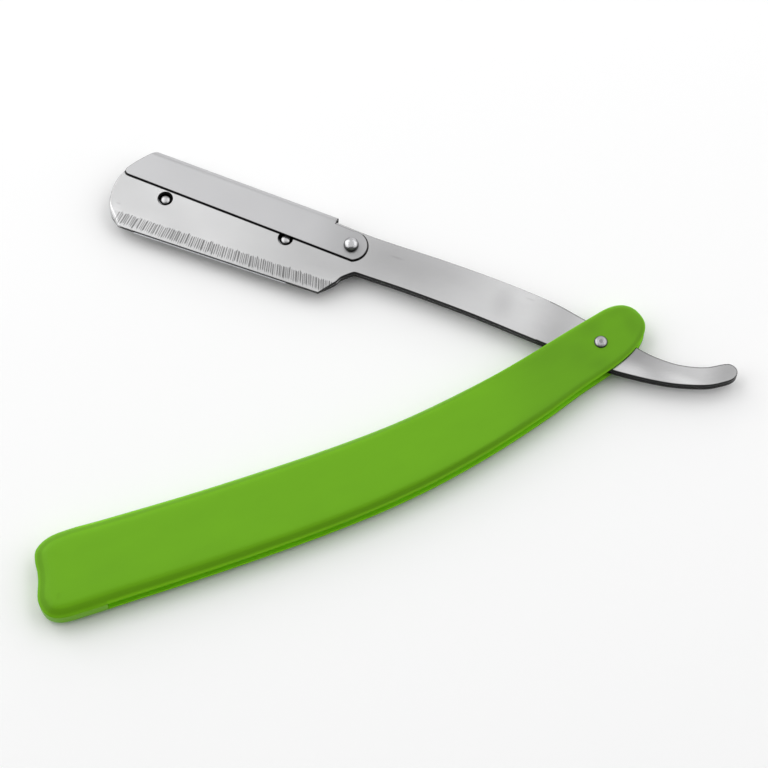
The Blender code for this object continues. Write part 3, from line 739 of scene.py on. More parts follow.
@dataclass
class Arm:
    """Arm of two pressed plates, each with its holder, tang and tail in one piece."""

    frame: FlatFrame
    spacing: float = 0.00045
    heel_reach: float = 0.0645
    holder_length: float = 0.0538
    nose_depth: float = 0.0064
    edge_drop: float = 0.0095
    spine_rise_heel: float = 0.0083
    spine_rise_nose: float = 0.0100
    apex_rise_nose: float = 0.011474
    fold_setback: float = 0.0021
    tang_rise: float = 0.00775
    tail_reach: float = 0.0311
    tail_depth: float = 0.0049
    tail_curl: float = 0.0054
    grind_width: float = 0.0032
    grind_lip: float = 0.00035
    rim: float = 0.00007
    nose_round: float = 0.0009
    nose_round_drop: float = 0.0078
    nose_round_spread: float = 0.0021
    nose_round_reach: float = 0.0032
    rivet_setback: float = 0.0032
    rivet_rise: float = 0.00375
    peg_rise: float = 0.00045
    peg_spacing: float = 0.0297
    peg_middle: float = 0.0265
    peg_radius: float = 0.0011
    peg_dome: float = 0.0004
    window_radius: float = 0.0017
    rivet_hole: float = 0.00097
    pin_hole: float = 0.00104
    fit: float = 0.00002
    hole_steps: int = 72
    nose_shares: tuple[Pair, ...] = (
        (0.28, 0.00), (0.66, 0.09), (0.85, 0.195), (0.96, 0.31), (1.00, 0.43), (0.95, 0.56), (0.81, 0.67),
        (0.59, 0.78), (0.34, 0.88), (0.00, 1.00),
    )
    underside_shares: tuple[Pair, ...] = (
        (1.000, 1.000), (0.978, 0.822), (0.962, 0.685), (0.953, 0.605), (0.947, 0.510), (0.940, 0.435),
        (0.923, 0.322), (0.912, 0.256), (0.904, 0.223), (0.892, 0.216), (0.850, 0.219), (0.700, 0.226),
        (0.470, 0.284), (0.280, 0.380), (0.120, 0.460),
    )
    tail_under_shares: tuple[Pair, ...] = (
        (0.00, 1.00), (0.13, 1.03), (0.26, 0.99), (0.45, 0.87), (0.63, 0.66), (0.82, 0.27), (0.93, -0.15),
    )
    tail_top_shares: tuple[Pair, ...] = (
        (0.982, 0.40), (1.000, 0.67), (0.981, 0.91), (0.932, 1.01), (0.880, 0.90), (0.790, 0.58),
        (0.690, 0.37), (0.550, 0.23), (0.390, 0.25), (0.260, 0.38), (0.100, 0.61),
    )
    tang_top_shares: tuple[Pair, ...] = (
        (0.078, 0.59), (0.190, 0.78), (0.310, 0.885), (0.470, 0.96), (0.650, 0.99), (0.880, 0.99),
    )

    @property
    def nose_corner(self) -> float:
        """Where the straight spine ends at the nose, along x."""
        return self.nose_depth - self.heel_reach - self.holder_length

    @property
    def fold_start(self) -> float:
        """Where the lock's fold starts, along x."""
        return -(self.heel_reach + self.fold_setback)

    @property
    def facet_line(self) -> float:
        """Where the ground facet ends, along y."""
        return self.grind_width - self.edge_drop

    @property
    def rivet(self) -> Floats:
        """Where the lock's rivet stands."""
        return np.array([self.rivet_setback - self.heel_reach, self.rivet_rise])

    def pegs(self) -> dict[str, Floats]:
        """Return where each locating peg stands."""
        middle = -self.heel_reach - self.peg_middle
        heel = np.array([middle + self.peg_spacing / 2, self.peg_rise])
        return {"heel": heel, "nose": heel - np.array([self.peg_spacing, 0])}

    def spine(self, x: Floats | float) -> Floats | float:
        """Return the height of the plates' spine."""
        slope = (self.spine_rise_nose - self.spine_rise_heel) / (self.nose_corner - self.fold_start)
        return self.spine_rise_nose + slope * (x - self.nose_corner)

    def nose(self) -> Floats:
        """Return the nose's outline, from the cutting edge up to the top of the lock's fold."""
        height = self.apex_rise_nose + self.edge_drop
        points = np.array(self.nose_shares) * [-self.nose_depth, height]
        return smooth_run(points + [self.nose_corner, -self.edge_drop])

    def outline(self) -> tuple[Floats, list[Cut]]:
        """Return the outline that both plates share, and the line where the ground facet ends.

        The outline runs down the nose, along the edge, round the heel, the tang and the tail, and back
        along the spine.
        """
        nose = self.nose()
        index = int(np.nonzero(nose[:, 1] > self.spine(nose[:, 0]))[0][0])
        nose = nose[:index][::-1]
        nose[0, 1] = self.spine(nose[0, 0])
        stretches = (
            (self.underside_shares, -self.heel_reach, -self.edge_drop),
            (self.tail_under_shares, self.tail_reach, -self.tail_depth),
            (self.tail_top_shares, self.tail_reach, self.tail_curl),
            (self.tang_top_shares, -self.heel_reach, self.tang_rise),
        )
        points = [np.array(shares) * [across, up] for shares, across, up in stretches]
        rest = smooth_run(np.vstack([*points, [self.fold_start, self.spine(self.fold_start)]]))
        nose_above, nose_below = split_at(nose, self.facet_line, axis=1)
        heel_below, heel_above = split_at(rest, self.facet_line, axis=1)
        edge = np.vstack([nose[-1], rest[0]])
        spine = np.vstack([rest[-1], nose[0]])
        runs = [nose_above, nose_below, edge, heel_below, heel_above, spine]
        runs = [spaced_run(run, self.spacing) for run in runs]
        start = len(runs[0]) - 1
        end = start + sum(len(run) - 1 for run in runs[1:4])
        return joined(*runs), [(start, end)]

    def ground(self, thickness: float) -> Fall:
        """Return how far the facet falls below a plate's outer face: straight down to the edge's lip."""
        slope = (thickness - self.grind_lip) / self.grind_width
        return lambda points: slope * np.clip(self.facet_line - points[..., 1], 0, self.grind_width)

    def build(self, plate: Material, dull: Material) -> None:
        """Make both plates and the two pegs that the blade sits on."""
        low, high = half_height("front_plate", self.frame.origin)
        outline, cuts = self.outline()
        drop = (outline[:, 1] + self.nose_round_drop) / self.nose_round_spread
        at_nose = np.clip((self.nose_corner - outline[:, 0]) / self.nose_round_reach, 0, 1)
        rims = self.rim + (self.nose_round - self.rim) * np.exp(-(drop**2)) * at_nose
        for side, node in ((Side.FRONT, "front_plate"), (Side.REAR, "rear_plate")):
            peg_hole = self.window_radius if side is Side.FRONT else self.peg_radius + self.fit
            places = [((0.0, 0.0), self.pin_hole), (self.rivet, self.rivet_hole)]
            places += [(place, peg_hole) for place in self.pegs().values()]
            holes = [arc(centre, radius, 360, 0, self.hole_steps)[:-1] for centre, radius in places]
            slab = Slab(outline, low, high, self.rim, holes, cuts, [0] * len(holes), rims)
            slab.upper_fall = self.ground(high - low)
            shell = slab.shell()
            shell = shell if side is Side.FRONT else shell.turned_over()
            mesh = shell.moved(self.frame.place).mesh(f"{node}_ground")
            sharpen_line(mesh, self.frame, self.facet_line)
            add_piece(f"{node}_ground", mesh, "arm", node, plate)
        for where, (x, y) in self.pegs().items():
            node = f"locating_peg_{where}"
            low, high = half_height(node, self.frame.origin)
            profile = domed_profile(self.peg_radius, high, self.peg_dome, low)
            mesh = turned(profile).moved(self.frame.shifted(x, y)).mesh(f"peg_{where}_domed")
            add_piece(f"peg_{where}_domed", mesh, "arm", node, dull)


def sharpen_line(
    mesh: bpy.types.Mesh, frame: FlatFrame, height: float, near: float = 0.0003, shortest: float = 0.010
) -> None:
    """Mark the long edges that lie along a line y = height of a flat frame as sharp.

    Args:
        mesh: the mesh, in the row frame.
        frame: the flat frame.
        height: the line's height there.
        near: how near to the line both ends of an edge lie.
        shortest: how long an edge is at least.
    """
    points = mesh_points(mesh) - frame.origin
    y = -points[:, 0] * np.sin(frame.turn) + points[:, 1] * np.cos(frame.turn)
    ends = np.empty(len(mesh.edges) * 2, int)
    mesh.edges.foreach_get("vertices", ends)
    ends = ends.reshape(-1, 2)
    length = np.linalg.norm(points[ends[:, 0]] - points[ends[:, 1]], axis=1)
    along = (np.abs(y[ends] - height) < near).all(axis=1) & (length > shortest)
    sharp = mesh.attributes.get("sharp_edge") or mesh.attributes.new("sharp_edge", "BOOLEAN", "EDGE")
    marked = np.empty(len(mesh.edges), bool)
    sharp.data.foreach_get("value", marked)
    sharp.data.foreach_set("value", marked | along)


def domed_profile(
    radius: float, top: float, rise: float, bottom: float, broken_share: float = 0.05, steps: int = 14
) -> Floats:
    """Return the profile of a pin with a domed top and a square bottom with a broken edge.

    The dome is a quarter ellipse: radius cos t and top - rise (1 - sin t).

    Args:
        radius: the pin's radius.
        top: the dome's height.
        rise: how far the dome stands over its rim.
        bottom: the foot's height.
        broken_share: the foot's broken edge, as a share of the radius.
        steps: how many points the dome has.

    Returns:
        Radius and height, from the upper pole down to the lower pole.
    """
    turn = np.linspace(QUARTER, 0, steps)
    dome = np.column_stack([radius * np.cos(turn), top - rise * (1 - np.sin(turn))])
    dome[0, 0] = 0
    broken = broken_share * radius
    foot = [[radius, bottom + broken], [radius - broken, bottom], [0, bottom]]
    return np.vstack([dome, foot])


def corner_round(
    before: Floats, corner: Floats, after: Floats, radius: float
) -> tuple[Floats, Floats, Floats]:
    """Return the centre of the arc that rounds a corner, and the points where it meets the two sides.

    With h half of the corner's angle, the centre lies r / sin h from the corner, and the points r / tan h.

    Args:
        before: a point on the side that leads to the corner.
        corner: the corner.
        after: a point on the side that leads away from it.
        radius: the arc's radius r.

    Returns:
        The centre, the first point and the last.
    """
    back = (before - corner) / np.linalg.norm(before - corner)
    ahead = (after - corner) / np.linalg.norm(after - corner)
    half = np.arccos(np.clip(back @ ahead, -1, 1)) / 2
    centre = corner + (back + ahead) / np.linalg.norm(back + ahead) * radius / np.sin(half)
    return centre, corner + back * radius / np.tan(half), corner + ahead * radius / np.tan(half)


def rounded_corner(before: Floats, corner: Floats, after: Floats, radius: float, steps: int = 8) -> Floats:
    """Return the arc that rounds a corner, from the first side to the second."""
    centre, first, last = corner_round(before, corner, after, radius)
    start = np.arctan2(*(first - centre)[::-1])
    end = np.arctan2(*(last - centre)[::-1])
    sweep = (end - start + np.pi) % (2 * np.pi) - np.pi
    return arc(centre, radius, *np.degrees([start, start + sweep]), steps)


@dataclass
class Lock:
    """Swing lock, one sheet folded over the spine of both plates, and the rivet that it turns on.

    The sheet is worked out flat and then folded. Flat, p runs along the fold and w across it, with the
    front leaf at negative w. A point at w lies at the angle w / R round the fold, R being the radius of the
    sheet's middle, and past a quarter turn to either side the leaves go straight on.
    """

    arm: Arm
    sheet: float = 0.0005
    inner_radius: float = 0.00122
    nose_rise: float = 0.0030
    edge_lift: float = 0.00034
    corner_radius: float = 0.0010
    lug_radius: float = 0.0037
    lug_shoulder: float = 0.00025
    lug_start: float = 100.0
    hole_radius: float = 0.00099
    rim: float = 0.00009
    fold_steps: int = 24
    lug_steps: int = 44
    hole_steps: int = 48
    spacing: float = 0.0006
    rivet_head_radius: float = 0.00175
    rivet_head_height: float = 0.00135
    rivet_fullness: float = 3.0
    rivet_shank: float = 0.00095
    rivet_seat: float = 0.00175
    rivet_dent: float = 0.000048
    rivet_steps: int = 22

    @property
    def middle(self) -> float:
        """Radius of the sheet's middle in the fold."""
        return self.inner_radius + self.sheet / 2

    @property
    def slope(self) -> float:
        """Slope of the front leaf's lower edge, from the lug's foot to the nose's corner."""
        rivet = self.arm.rivet
        below = self.lug_radius - self.edge_lift
        return (self.nose_rise - rivet[1] + below) / (self.arm.nose_corner - rivet[0])

    @property
    def foot_angle(self) -> float:
        """Angle round the rivet, in degrees, at which the lug's round meets the straight lower edge."""
        lean = np.arctan(self.slope)
        below = (self.lug_radius - self.edge_lift) * np.cos(lean)
        return float(np.degrees(lean + np.arccos(below / self.lug_radius)) - 90)

    @property
    def foot(self) -> Floats:
        """Point at which the lug's round meets the straight lower edge."""
        turn = np.radians(self.foot_angle)
        return self.arm.rivet + self.lug_radius * np.array([np.cos(turn), np.sin(turn)])

    @property
    def tilt(self) -> float:
        """Angle of the fold to the arm's x axis."""
        rise = self.arm.spine_rise_nose - self.arm.spine_rise_heel
        return float(np.arctan(rise / (self.arm.nose_corner - self.arm.fold_start)))

    @property
    def axis(self) -> Floats:
        """A point on the fold's axis, below the top of the nose."""
        outer = self.inner_radius + self.sheet
        return np.array([self.arm.nose_corner, self.arm.apex_rise_nose - outer])

    def along_and_up(self, points: Floats) -> Floats:
        """Return how far points of the arm's frame lie along the fold, and over its axis."""
        cosine, sine = np.cos(self.tilt), np.sin(self.tilt)
        x, y = (points - self.axis).T
        return np.column_stack([x * cosine + y * sine, y * cosine - x * sine])

    def nose(self) -> Floats:
        """Return the nose's outline, along the fold and over its axis, from the bottom up."""
        return self.along_and_up(self.arm.nose())

    def lower_corner(self) -> tuple[int, tuple[Floats, Floats, Floats]]:
        """Work out where the front leaf's lower edge meets the nose.

        Returns:
            The nose's first point above the lower edge, by its number, and three points: one a little way
            up the nose, the corner itself and the lower edge's middle.
        """
        foot = self.foot
        nose = self.arm.nose()
        above = nose[:, 1] - foot[1] - self.slope * (nose[:, 0] - foot[0])
        index = int(np.nonzero(above > 0)[0][0])
        share = above[index - 1] / (above[index - 1] - above[index])
        corner = nose[index - 1] + share * (nose[index] - nose[index - 1])
        return index, (nose[index + CURVE_STEPS // 4], corner, (foot + corner) / 2)

    @property
    def corner_centre(self) -> Floats:
        """Centre of the round at the nose end of the lower edge."""
        _, points = self.lower_corner()
        return corner_round(*points, self.corner_radius)[0]

    def half_outlines(self) -> tuple[Floats, Floats]:
        """Return the front leaf's outline from its lower edge's middle to the fold's end, and back.

        The first half leads round the lug to the fold's heel end, the second from the fold's nose end
        round the nose's corner. Both end level with the fold's axis.
        """
        rivet = self.arm.rivet
        index, points = self.lower_corner()
        round_off = rounded_corner(*points, self.corner_radius)
        _, corner, middle = points
        cut_back = np.linalg.norm(round_off[0] - corner)
        nose = self.arm.nose()[index:]
        nose = nose[np.linalg.norm(nose - corner, axis=1) > cut_back]
        lug = arc(rivet, self.lug_radius, self.foot_angle, self.lug_start, self.lug_steps)
        shoulder = np.array([self.arm.fold_start, rivet[1] + self.lug_radius + self.lug_shoulder])
        level = self.axis[1] + np.tan(self.tilt) * (self.arm.fold_start - self.axis[0])
        heel = [np.vstack([middle, lug[0]]), lug, np.vstack([lug[-1], shoulder])]
        heel.append(np.vstack([shoulder, [self.arm.fold_start, level]]))
        parts = [spaced_run(run, self.spacing) if len(run) == 2 else run for run in heel]
        heel_side = self.along_and_up(np.vstack([joined(*parts), parts[-1][-1:]]))
        nose = self.along_and_up(nose)
        upper = split_at(nose, 0.0, axis=1)[0][::-1]
        low_edge = spaced_run(np.vstack([round_off[-1], middle]), self.spacing)
        lower = self.along_and_up(np.vstack([round_off, low_edge[1:]]))
        return heel_side, np.vstack([spaced_run(upper, self.spacing / 2), lower])

    def leaf_across(self, height: Floats) -> Floats:
        """Return how far from the fold's top a leaf's points lie on the flat sheet, given their height."""
        return self.middle * QUARTER - height

    def flat_outline(self) -> tuple[Floats, list[Cut]]:
        """Return the flat sheet's outline, and a chord along the fold at each of its steps."""
        heel, nose = self.half_outlines()
        heel = np.column_stack([heel[:, 0], -self.leaf_across(heel[:, 1])])
        nose = np.column_stack([nose[:, 0], -self.leaf_across(nose[:, 1])])
        mirror = np.array([1, -1])
        turn = np.linspace(-QUARTER, QUARTER, self.fold_steps + 1)[1:-1]
        height = self.middle * np.cos(turn)
        run = self.nose()
        end = (self.arm.fold_start - self.axis[0]) / np.cos(self.tilt) + height * np.tan(self.tilt)
        heel_fold = np.column_stack([end, self.middle * turn])
        nose_fold = np.column_stack([np.interp(height, run[:, 1], run[:, 0]), self.middle * turn])[::-1]
        parts = [heel, heel_fold, heel[::-1] * mirror, nose[::-1][1:] * mirror, nose_fold, nose[:-1]]
        first = len(heel) - 1
        last = 2 * len(heel) + 2 * self.fold_steps + len(nose) - 3
        cuts = [(first + step, last - step) for step in range(self.fold_steps + 1)]
        return np.vstack(parts), cuts

    def folded(self, points: Floats) -> Floats:
        """Fold points of the flat sheet, and put them into the arm's frame."""
        along, across, lift = points.T
        radius = self.middle + lift
        turn = np.clip(across / self.middle, -QUARTER, QUARTER)
        beyond = np.maximum(np.abs(across) - self.middle * QUARTER, 0)
        height = radius * np.cos(turn) - beyond
        run = self.nose()
        shift = np.interp(radius * np.cos(turn), run[:, 1], run[:, 0])
        shift = shift - np.interp(self.middle * np.cos(turn), run[:, 1], run[:, 0])
        length = self.arm.fold_start - self.axis[0]
        along = along + shift * np.clip(1 - along / length, 0, 1) * (beyond == 0)
        cosine, sine = np.cos(self.tilt), np.sin(self.tilt)
        x = self.axis[0] + along * cosine - height * sine
        y = self.axis[1] + along * sine + height * cosine
        return np.column_stack([x, y, -radius * np.sin(turn)])

    def build(self, satin: Material, polished: Material) -> None:
        """Make the lock and its rivet."""
        outline, cuts = self.flat_outline()
        along, height = self.along_and_up(self.arm.rivet[None])[0]
        across = self.leaf_across(height)
        centres = [(along, -across), (along, across)]
        holes = [arc(centre, self.hole_radius, 360, 0, self.hole_steps)[:-1] for centre in centres]
        slab = Slab(outline, -self.sheet / 2, self.sheet / 2, self.rim, holes, cuts, [0, len(cuts)])
        mesh = slab.shell().moved(self.folded).moved(self.arm.frame.place).mesh("swing_lock_folded")
        add_piece("swing_lock_folded", mesh, "lock", "swing_lock", satin)
        self.build_rivet(polished)

    def build_rivet(self, polished: Material) -> None:
        """Make the rivet, with heads of radius R cos^(2/n) t and height H sin^(2/n) t, n the fullness."""
        turn = np.linspace(QUARTER, 0.0, self.rivet_steps)
        head = np.column_stack([np.cos(turn), np.sin(turn)]) ** (2 / self.rivet_fullness)
        head = head * [self.rivet_head_radius, self.rivet_head_height] + [0, self.rivet_seat]

        def hammered(radius: Floats, angle: Floats) -> Floats:
            """Shallow flats that the setting tool left: r/R (1 - r/R) (cos 3a + sin(5a + 1) / 2)."""
            share = np.minimum(radius / self.rivet_head_radius, 1)
            return self.rivet_dent * share * (1 - share) * (np.cos(3 * angle) + np.sin(5 * angle + 1) / 2)

        shell = turned(two_headed(head, self.rivet_shank, self.rivet_seat), HEAD_COLUMNS, hammered)
        mesh = shell.moved(self.arm.frame.shifted(*self.arm.rivet)).mesh("lock_rivet_domed")
        add_piece("lock_rivet_domed", mesh, "arm", "lock_rivet", polished)


@dataclass
class Blade:
    """Half blade: end tabs, an edge shorter than the blade, and a slotted back with three round notches."""

    frame: FlatFrame
    centre: Pair = (-0.0910, 0.00123)
    length: float = 0.0430
    depth: float = 0.0110
    edge_length: float = 0.0374
    tab_depth: float = 0.0066
    shoulder: float = 0.0009
    slot_length: float = 0.0368
    slot_half_width: float = 0.0007
    notch_radius: float = 0.0019
    notch_spacing: float = 0.02970
    bevel_width: float = 0.0008
    bevel_fall: float = 0.000042
    rim: float = 0.00001
    edge_reach: float = 0.00003
    notch_steps: int = 18

    def outline(self) -> Floats:
        """Return the blade's outline, with y = 0 along its snapped back."""
        half, edge, slot = self.length / 2, self.edge_length / 2, self.slot_length / 2
        start = 180 + np.degrees(np.arcsin(self.slot_half_width / self.notch_radius))
        tab, shoulder = -self.tab_depth, -self.tab_depth - self.shoulder
        points = [[-half, 0], [-half, tab], [-edge, shoulder], [-edge, -self.depth], [edge, -self.depth]]
        points += [[edge, shoulder], [half, tab], [half, 0], [slot, 0], [slot, -self.slot_half_width]]
        for middle in (self.notch_spacing / 2, 0, -self.notch_spacing / 2):
            points += arc((middle, 0), self.notch_radius, 540 - start, start, self.notch_steps).tolist()
        points += [[-slot, -self.slot_half_width], [-slot, 0]]
        return np.array(points)

    def bevelled(self, points: Floats) -> Floats:
        """Return how far the ground edge falls on each face."""
        share = np.clip((self.bevel_width - self.depth - points[..., 1]) / self.bevel_width, 0, 1)
        return share * self.bevel_fall

    def build(self, bright: Material) -> None:
        """Make the blade, with the bevel's upper line put in across the edge as a cut of both faces."""
        low, high = half_height("half_blade", self.frame.origin)
        outline = self.outline()
        ends = [[-self.edge_length / 2, self.bevel_width - self.depth]]
        ends.append([self.edge_length / 2, self.bevel_width - self.depth])
        outline = np.insert(outline, [3, 5], ends, axis=0)
        slab = Slab(outline, low, high, self.rim, cuts=[(3, 6)], edge_reach=self.edge_reach)
        slab.upper_fall = self.bevelled
        slab.lower_fall = self.bevelled
        mesh = slab.shell().moved(self.frame.shifted(*self.centre)).mesh("half_blade_bevelled")
        add_piece("half_blade_bevelled", mesh, "blade", "half_blade", bright)


@dataclass
class Pivot:
    """Pin peened over both scales, and the thin washers on it."""

    frame: FlatFrame
    head_radius: float = 0.0015
    head_height: float = 0.0005
    dimple_depth: float = 0.00015
    dimple_radius: float = 0.00062
    seat: float = 0.00263
    shank: float = 0.0010
    head_steps: int = 26
    ripple: float = 0.000012
    ripple_share: float = 0.72
    ripple_spread: float = 0.18
    washer_bore: float = 0.00104
    washer_radius: float = 0.0034
    washer_round: float = 0.00005

    def build(self, peened: Material, brass: Material) -> None:
        """Make the pin and both washers."""
        self.build_pin(peened)
        outer, bore, soft = self.washer_radius, self.washer_bore, self.washer_round
        for where in ("front", "rear"):
            node = f"pivot_washer_{where}"
            low, high = half_height(node, self.frame.origin)
            profile = np.array([
                [outer - soft, high], [outer, high - soft], [outer, low + soft], [outer - soft, low],
                [bore + soft, low], [bore, low + soft], [bore, high - soft], [bore + soft, high],
            ])
            mesh = turned_ring(profile).moved(self.frame.place).mesh(f"washer_{where}_turned")
            add_piece(f"washer_{where}_turned", mesh, "handle", node, brass)

    def build_pin(self, peened: Material) -> None:
        """Make the pin, with heads of height H sin t at radius R cos t, less a dimple d exp(-(r / c)^4)."""
        turn = np.linspace(QUARTER, 0.0, self.head_steps)
        radius = self.head_radius * np.cos(turn)
        dimple = self.dimple_depth * np.exp(-((radius / self.dimple_radius) ** 4))
        head = np.column_stack([radius, self.seat + self.head_height * np.sin(turn) - dimple])

        def hammered(radius: Floats, angle: Floats) -> Floats:
            """Uneven rim that the hammer left: sin 4a + cos(7a + 2) / 2, strongest part of the way out."""
            away = (radius / self.head_radius - self.ripple_share) / self.ripple_spread
            return self.ripple * np.exp(-(away**2)) * (np.sin(4 * angle) + np.cos(7 * angle + 2) / 2)

        shell = turned(two_headed(head, self.shank, self.seat), HEAD_COLUMNS, hammered)
        mesh = shell.moved(self.frame.place).mesh("pivot_pin_peened")
        add_piece("pivot_pin_peened", mesh, "handle", "pivot_pin", peened)


# Finishes


class Tree:
    """Shader nodes of one material, added and linked by name."""

    def __init__(self, name: str, frame: FlatFrame) -> None:
        """Start a material whose coordinates are a flat frame's, in metres."""
        self.material = bpy.data.materials.new(name)
        self.material.use_nodes = True
        self.tree = self.material.node_tree
        self.shader = self.tree.nodes["Principled BSDF"]
        coordinates = self.add("ShaderNodeTexCoord").outputs["Object"]
        mapping = self.add("ShaderNodeMapping", vector_type="TEXTURE")
        mapping.inputs["Location"].default_value = frame.origin
        mapping.inputs["Rotation"].default_value = (0, 0, frame.turn)
        self.link(coordinates, mapping.inputs["Vector"])
        self.local = mapping.outputs["Vector"]

    def add(self, kind: str, **settings: object) -> bpy.types.Node:
        """Add a node of a kind, with its properties set."""
        node = self.tree.nodes.new(kind)
        for key, value in settings.items():
            setattr(node, key, value)
        return node

    def link(self, source: Value, target: Socket) -> None:
        """Feed a socket from another one, or set it to a number."""
        if isinstance(source, Socket):
            self.tree.links.new(source, target)
        else:
            target.default_value = source

    def dress(self, **values: Value) -> None:
        """Feed the shader's sockets, named in lower case with _ for each space."""
        names = {socket.name.lower().replace(" ", "_"): socket for socket in self.shader.inputs}
        for name, value in values.items():
            self.link(value, names[name])

    def math(self, operation: str, *values: Value) -> Socket:
        """Return the result of a math node."""
        node = self.add("ShaderNodeMath", operation=operation)
        for value, target in zip(values, node.inputs):
            self.link(value, target)
        return node.outputs[0]

    def plus(self, first: Value, second: Value) -> Socket:
        """Return the sum of two values."""
        return self.math("ADD", first, second)

    def minus(self, first: Value, second: Value) -> Socket:
        """Return the first value less the second."""
        return self.math("SUBTRACT", first, second)

    def times(self, *values: Value) -> Socket:
        """Return the product of some values."""
        return reduce(lambda product, value: self.math("MULTIPLY", product, value), values)

    def scaled(self, x: float, y: float, z: float) -> Socket:
        """Return the frame's coordinates, each multiplied by a number."""
        node = self.add("ShaderNodeVectorMath", operation="MULTIPLY")
        self.link(self.local, node.inputs[0])
        node.inputs[1].default_value = (x, y, z)
        return node.outputs[0]

    def cells(self, x: Socket, x_size: float, y: Socket, y_size: float) -> Socket:
        """Return x and y, each counted in cells of a size of its own."""
        node = self.add("ShaderNodeCombineXYZ")
        self.link(self.math("DIVIDE", x, x_size), node.inputs[0])
        self.link(self.math("DIVIDE", y, y_size), node.inputs[1])
        return node.outputs[0]

    def axes(self) -> bpy.types.NodeOutputs:
        """Return the frame's coordinates, each on its own."""
        node = self.add("ShaderNodeSeparateXYZ")
        self.link(self.local, node.inputs[0])
        return node.outputs

    def noise(self, vector: Socket, detail: float = 2.0, roughness: float = 0.5) -> Socket:
        """Return a noise of unit scale, from about 0.3 to 0.7."""
        node = self.add("ShaderNodeTexNoise")
        values = {"Vector": vector, "Scale": 1.0, "Detail": detail, "Roughness": roughness}
        for name, value in values.items():
            self.link(value, node.inputs[name])
        return node.outputs["Fac"]

    def ramp(self, value: Socket, low: float, high: float, start: Value = 0.0, end: Value = 1.0) -> Socket:
        """Return a smooth step: start where a value is below low, end where it is above high."""
        node = self.add("ShaderNodeMapRange", interpolation_type="SMOOTHSTEP", clamp=True)
        for item, target in zip((value, low, high, start, end), node.inputs):
            self.link(item, target)
        return node.outputs[0]

    def toned(self, share: Socket, tone: Value) -> Socket:
        """Return 1 where a share is 0, and a tone where it is 1."""
        return self.ramp(share, 0.0, 1.0, 1.0, tone)

    def oval(self, x: float, y: float, reach_x: float = 1.0, reach_y: float = 1.0) -> Socket:
        """Return the distance to a point, with x and y each counted in a reach of its own."""
        node = self.add("ShaderNodeVectorMath", operation="MULTIPLY_ADD")
        self.link(self.local, node.inputs[0])
        node.inputs[1].default_value = (1 / reach_x, 1 / reach_y, 0)
        node.inputs[2].default_value = (-x / reach_x, -y / reach_y, 0)
        length = self.add("ShaderNodeVectorMath", operation="LENGTH")
        self.link(node.outputs[0], length.inputs[0])
        return length.outputs["Value"]

    def patched(self, tone: Socket, painted_light_patches: Sequence[Patch]) -> Socket:
        """Return a tone with painted shade laid on in some patches, and painted light where a depth is
        negative.
        """
        for patch in painted_light_patches:
            away = self.oval(patch.x, patch.y, patch.reach_x, patch.reach_y)
            tone = self.times(tone, self.ramp(away, 0.0, 1.0, 1 - patch.depth, 1.0))
        return tone

    def chosen(self, here: Socket, value: Value, other: Value) -> Socket:
        """Return a value where here is 1, and the other one where it is 0."""
        rest = self.times(self.minus(1.0, here), other)
        return self.plus(self.times(here, value), rest)

    def attribute(self, name: str) -> Socket:
        """Return a value kept at the mesh's points."""
        return self.add("ShaderNodeAttribute", attribute_name=name).outputs["Fac"]

    def tone(self, colour: Triple, factor: Socket) -> Socket:
        """Return a colour multiplied by a factor."""
        node = self.add("ShaderNodeVectorMath", operation="SCALE")
        node.inputs[0].default_value = colour
        self.link(factor, node.inputs["Scale"])
        return node.outputs[0]

    def bump(self, height: Socket, distance: float) -> None:
        """Bend the shader's normal by a height."""
        node = self.add("ShaderNodeBump")
        node.inputs["Strength"].default_value = 1.0
        node.inputs["Distance"].default_value = distance
        self.link(height, node.inputs["Height"])
        self.dress(normal=node.outputs[0])


